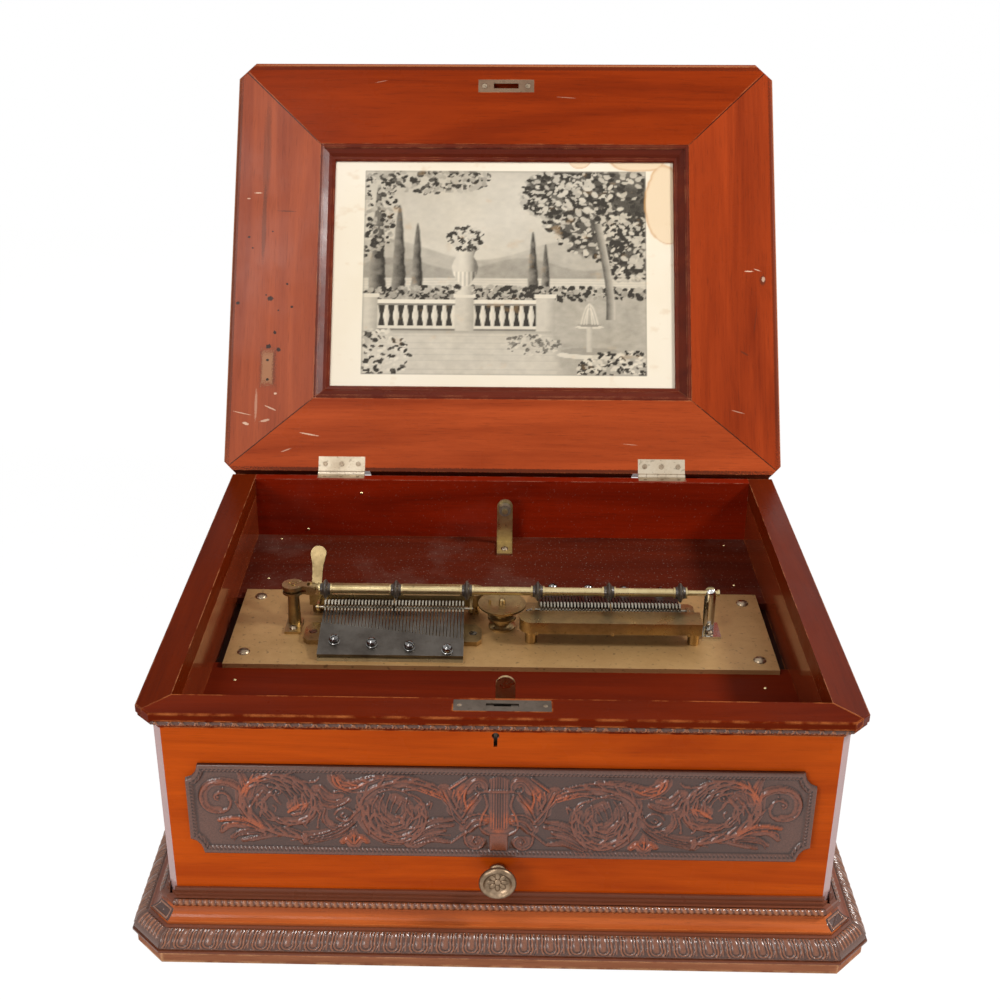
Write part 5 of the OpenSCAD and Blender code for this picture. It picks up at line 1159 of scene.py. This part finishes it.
# Sky, two ranges of hills, water and lawn; then cypresses, a great tree, a hedge and the leaves at the left.
haze = cloud_field(5, 3)
grainy = cloud_field(40, 4)
tone = 0.16 + 0.22 * haze + 0.12 * np.clip(T - 0.6, 0, 1)
tone = lay(tone, edge_of(0.60 + 0.05 * np.sin(S * 9 + 1) + 0.02 * haze - T, 0.01), 0.34 + 0.1 * grainy)
tone = lay(tone, edge_of(0.54 + 0.03 * np.sin(S * 14) - T, 0.01), 0.44 + 0.12 * grainy)
tone = lay(tone, edge_of(0.47 - T, 0.006), 0.20 + 0.1 * np.abs(np.sin(T * 240 + 3 * haze)))
tone = lay(tone, edge_of(0.40 - T, 0.006), 0.36 + 0.14 * grainy)
for s, top, wide in ((0.05, 0.93, 0.030), (0.125, 0.83, 0.026), (0.19, 0.74, 0.022), (0.60, 0.70, 0.020),
                     (0.645, 0.64, 0.016)):
    width = wide * np.sqrt(np.clip((top - T) / (top - 0.38), 0, 1)) * (1 + 0.5 * (grainy - 0.5))
    tree = edge_of(width - np.abs(S - s), 0.006) * (T > 0.38) * (T < top)
    tone = lay(tone, tree, 0.80 - 0.25 * np.clip((s - S) / wide, -1, 1) * 0.6 - 0.2 * grainy)
for cx, cy, rx, ry in ((0.86, 0.80, 0.22, 0.22), (0.72, 0.88, 0.16, 0.13), (0.95, 0.62, 0.12, 0.16)):
    body = 1 - ((S - cx) / rx) ** 2 - ((T - cy) / ry) ** 2
    tone = lay(tone, edge_of(body + 0.5 * (grainy - 0.5), 0.25), 0.72 + 0.2 * (haze - 0.5))
    leaves(tone, 420, crown(cx, cy, rx * 1.05, ry * 1.05), 3.2, 0.34, 0.86)
leaves(tone, 700, crown(0.5, 0.395, 0.62, 0.035), 3.0, 0.46, 0.86)
leaves(tone, 260, crown(0.02, 0.80, 0.10, 0.24), 2.8, 0.44, 0.84)
from_trunk = S - 0.845 - 0.03 * np.sin(T * 5)
trunk = edge_of(0.014 + 0.012 * np.clip(0.45 - T, 0, 1) - np.abs(from_trunk), 0.004) * (T > 0.27) * (T < 0.74)
tone = lay(tone, trunk, 0.55 - 14 * from_trunk)
leaves(tone, 260, crown(0.25, 0.96, 0.20, 0.07), 3.0, 0.42, 0.78)

# A balustrade crosses the view and carries an urn; a fountain stands in the lawn at the right.
WALL_END, URN_AT, FOUNTAIN_AT = 0.66, 0.36, 0.80
tone = lay(tone, edge_of(0.36 - T, 0.004) * (S < WALL_END), 0.42)
bay = np.mod(S, 0.034) / 0.034 - 0.5
belly = 0.16 + 0.17 * np.exp(-((T - 0.285) / 0.028) ** 2)
baluster = edge_of(belly - np.abs(bay), 0.08)
rounded = 0.82 - 0.62 * baluster + 0.3 * baluster * np.clip(bay, -0.3, 0.3)
tone = lay(tone, (T > 0.235) * (T < 0.345) * (S < WALL_END), rounded)
for bottom, top, value in ((0.345, 0.362, 0.12), (0.338, 0.345, 0.6), (0.222, 0.235, 0.2), (0.212, 0.222, 0.62)):
    tone = lay(tone, (T > bottom) * (T < top) * (S < 0.665), value)
for s in (0.02, 0.36, 0.645):
    pier = edge_of(0.033 - np.abs(S - s), 0.004) * (T > 0.212) * (T < 0.38)
    tone = lay(tone, pier, 0.24 + 5.0 * np.clip(S - s, 0, 1) + 0.08 * grainy)
    tone = lay(tone, edge_of(0.039 - np.abs(S - s), 0.004) * (T > 0.375) * (T < 0.393), 0.16)
shape = np.interp(T, (0.39, 0.40, 0.415, 0.43, 0.455, 0.49, 0.525, 0.555, 0.575, 0.60, 0.612, 0.618),
                  (0.030, 0.030, 0.012, 0.010, 0.026, 0.042, 0.047, 0.040, 0.030, 0.036, 0.048, 0.048))
urn = edge_of(shape - np.abs(S - URN_AT), 0.004) * (T > 0.39) * (T < 0.618)
gadroons = 0.12 * np.cos((S - URN_AT) * 420) * (T > 0.43) * (T < 0.5)
tone = lay(tone, urn, 0.20 + 0.45 * np.clip((S - 0.345) / 0.05, -0.2, 1) ** 2 + gadroons)
leaves(tone, 170, crown(URN_AT, 0.665, 0.062, 0.06), 2.6, 0.30, 0.80)
for height, reach, value in ((0.10, 0.115, 0.20), (0.118, 0.100, 0.50), (0.235, 0.050, 0.22), (0.244, 0.042, 0.55)):
    bowl = 1 - ((S - FOUNTAIN_AT) / reach) ** 2 - ((T - height) / (reach * 0.17)) ** 2
    tone = lay(tone, edge_of(bowl, 0.15), value)
stem = edge_of(0.010 - np.abs(S - FOUNTAIN_AT), 0.004) * (T > 0.115) * (T < 0.235)
tone = lay(tone, stem, 0.30 + 12 * np.clip(S - FOUNTAIN_AT, 0, 1))
for rise, reach in ((0.345, 0.030), (0.325, 0.020), (0.35, 0.010)):
    fall = reach * np.sqrt(np.clip((rise - T) / (rise - 0.244), 0, 1))
    spray = np.exp(-((np.abs(S - FOUNTAIN_AT) - fall) / 0.003) ** 2) * (T > 0.248) * (T < rise)
    tone = lay(tone, 0.7 * spray * (0.5 + grainy), 0.10)
path = edge_of(0.20 - T, 0.01) * edge_of(0.30 + 0.5 * (0.2 - T) - np.abs(S - 0.30 - 0.3 * T), 0.03)
ruts = (T >= 0) & (np.mod(np.clip(T, 0, None) ** 0.7 * 26, 1) < 0.12)
tone = lay(tone, path, 0.24 + 0.10 * grainy + 0.05 * ruts)
leaves(tone, 300, crown(0.93, 0.03, 0.17, 0.09), 2.6, 0.22, 0.84)
leaves(tone, 240, crown(0.05, 0.10, 0.12, 0.12), 2.6, 0.26, 0.78)
leaves(tone, 160, crown(0.60, 0.15, 0.10, 0.05), 2.0, 0.30, 0.66)
tone = np.clip(0.5 + (tone - 0.42) * 1.3 + 0.10 * (cloud_field(70, 5) - 0.5), 0.05, 0.98)
inside_plate = (S > 0) * (S < 1) * (T > 0) * (T < 1)
plate_line = np.minimum(np.minimum(S, 1 - S) * (right_edge - left), np.minimum(T, 1 - T) * (high - low))
tone = np.where(inside_plate, lay(tone, np.clip(1.4 - plate_line, 0, 0.6), 0.6), 0.0)

# Water stain: four soft patches with a darker shore, and a few brown spots in the paper.
tide = np.maximum.reduce([1 - ((SX - 156) / 19) ** 2 - ((SV - 268) / 38) ** 2,
                          1 - ((SX - 128) / 26) ** 2 - ((SV - 314) / 13) ** 2,
                          1 - ((SX - 73) / 10) ** 2 - ((SV - 313) / 9) ** 2,
                          1 - ((SX - 158) / 12) ** 2 - ((SV - 238) / 9) ** 2]) + 0.55 * (cloud_field(16, 8) - 0.5)
wet = np.clip(tide * 4 + 0.5, 0, 1)
shore = np.exp(-(tide / 0.10) ** 2)
foxing = np.clip((cloud_field(26, 11) - 0.70) * 6, 0, 1)

print_points = on_open_lid(SX, SV, np.full(SX.shape, SHEET_FACE)).reshape(-1, 3) * MM
print_mesh = sheet_mesh("garden_print", print_points.tolist(), len(sheet_x), False)
print_fields = {"tone": tone, "wet": wet, "shore": shore, "foxing": foxing}
write_fields(print_mesh, {label: np.clip(field, 0, 1) for label, field in print_fields.items()})
garden_print = put("garden_print", print_mesh)
backing = garden_print.modifiers.new("backing", "SOLIDIFY")
backing.thickness = PAPER_THICK
backing.offset = -1.0
freeze_modifiers(garden_print)


def aged_paper():
    material, tree = new_material("aged_paper")
    place = object_place(tree)
    fields = masks_of(tree, ("tone", "wet", "shore", "foxing"))
    age = spread(tree, noise(tree, place, 7.0, 4, 0.6), 0.35, 0.75)
    dots = spread(tree, noise(tree, place, 1500.0, 2, 0.5), 0.3, 0.7, -0.09, 0.09)
    inked = calc(tree, "ADD", fields["tone"], times(tree, dots, fields["tone"]))
    colour = mix_colour(tree, age, (0.94, 0.85, 0.70), (0.88, 0.77, 0.59))
    colour = mix_colour(tree, inked, colour, (0.036, 0.030, 0.023))
    for label, strength, tint in (("foxing", 0.25, (0.62, 0.36, 0.14)), ("wet", 0.45, (0.80, 0.52, 0.24)),
                                  ("shore", 0.6, (0.62, 0.30, 0.08))):
        colour = mix_colour(tree, times(tree, fields[label], strength), colour, tint)
    principled(tree, Base_Color=colour, Normal=bump_from(tree, noise(tree, place, 700.0, 3, 0.6), 0.05, 0.0002),
               Roughness=0.75, Specular_IOR_Level=0.2)
    return material


garden_print.data.materials.append(aged_paper())
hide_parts("picture_print")
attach(garden_print, "lid")
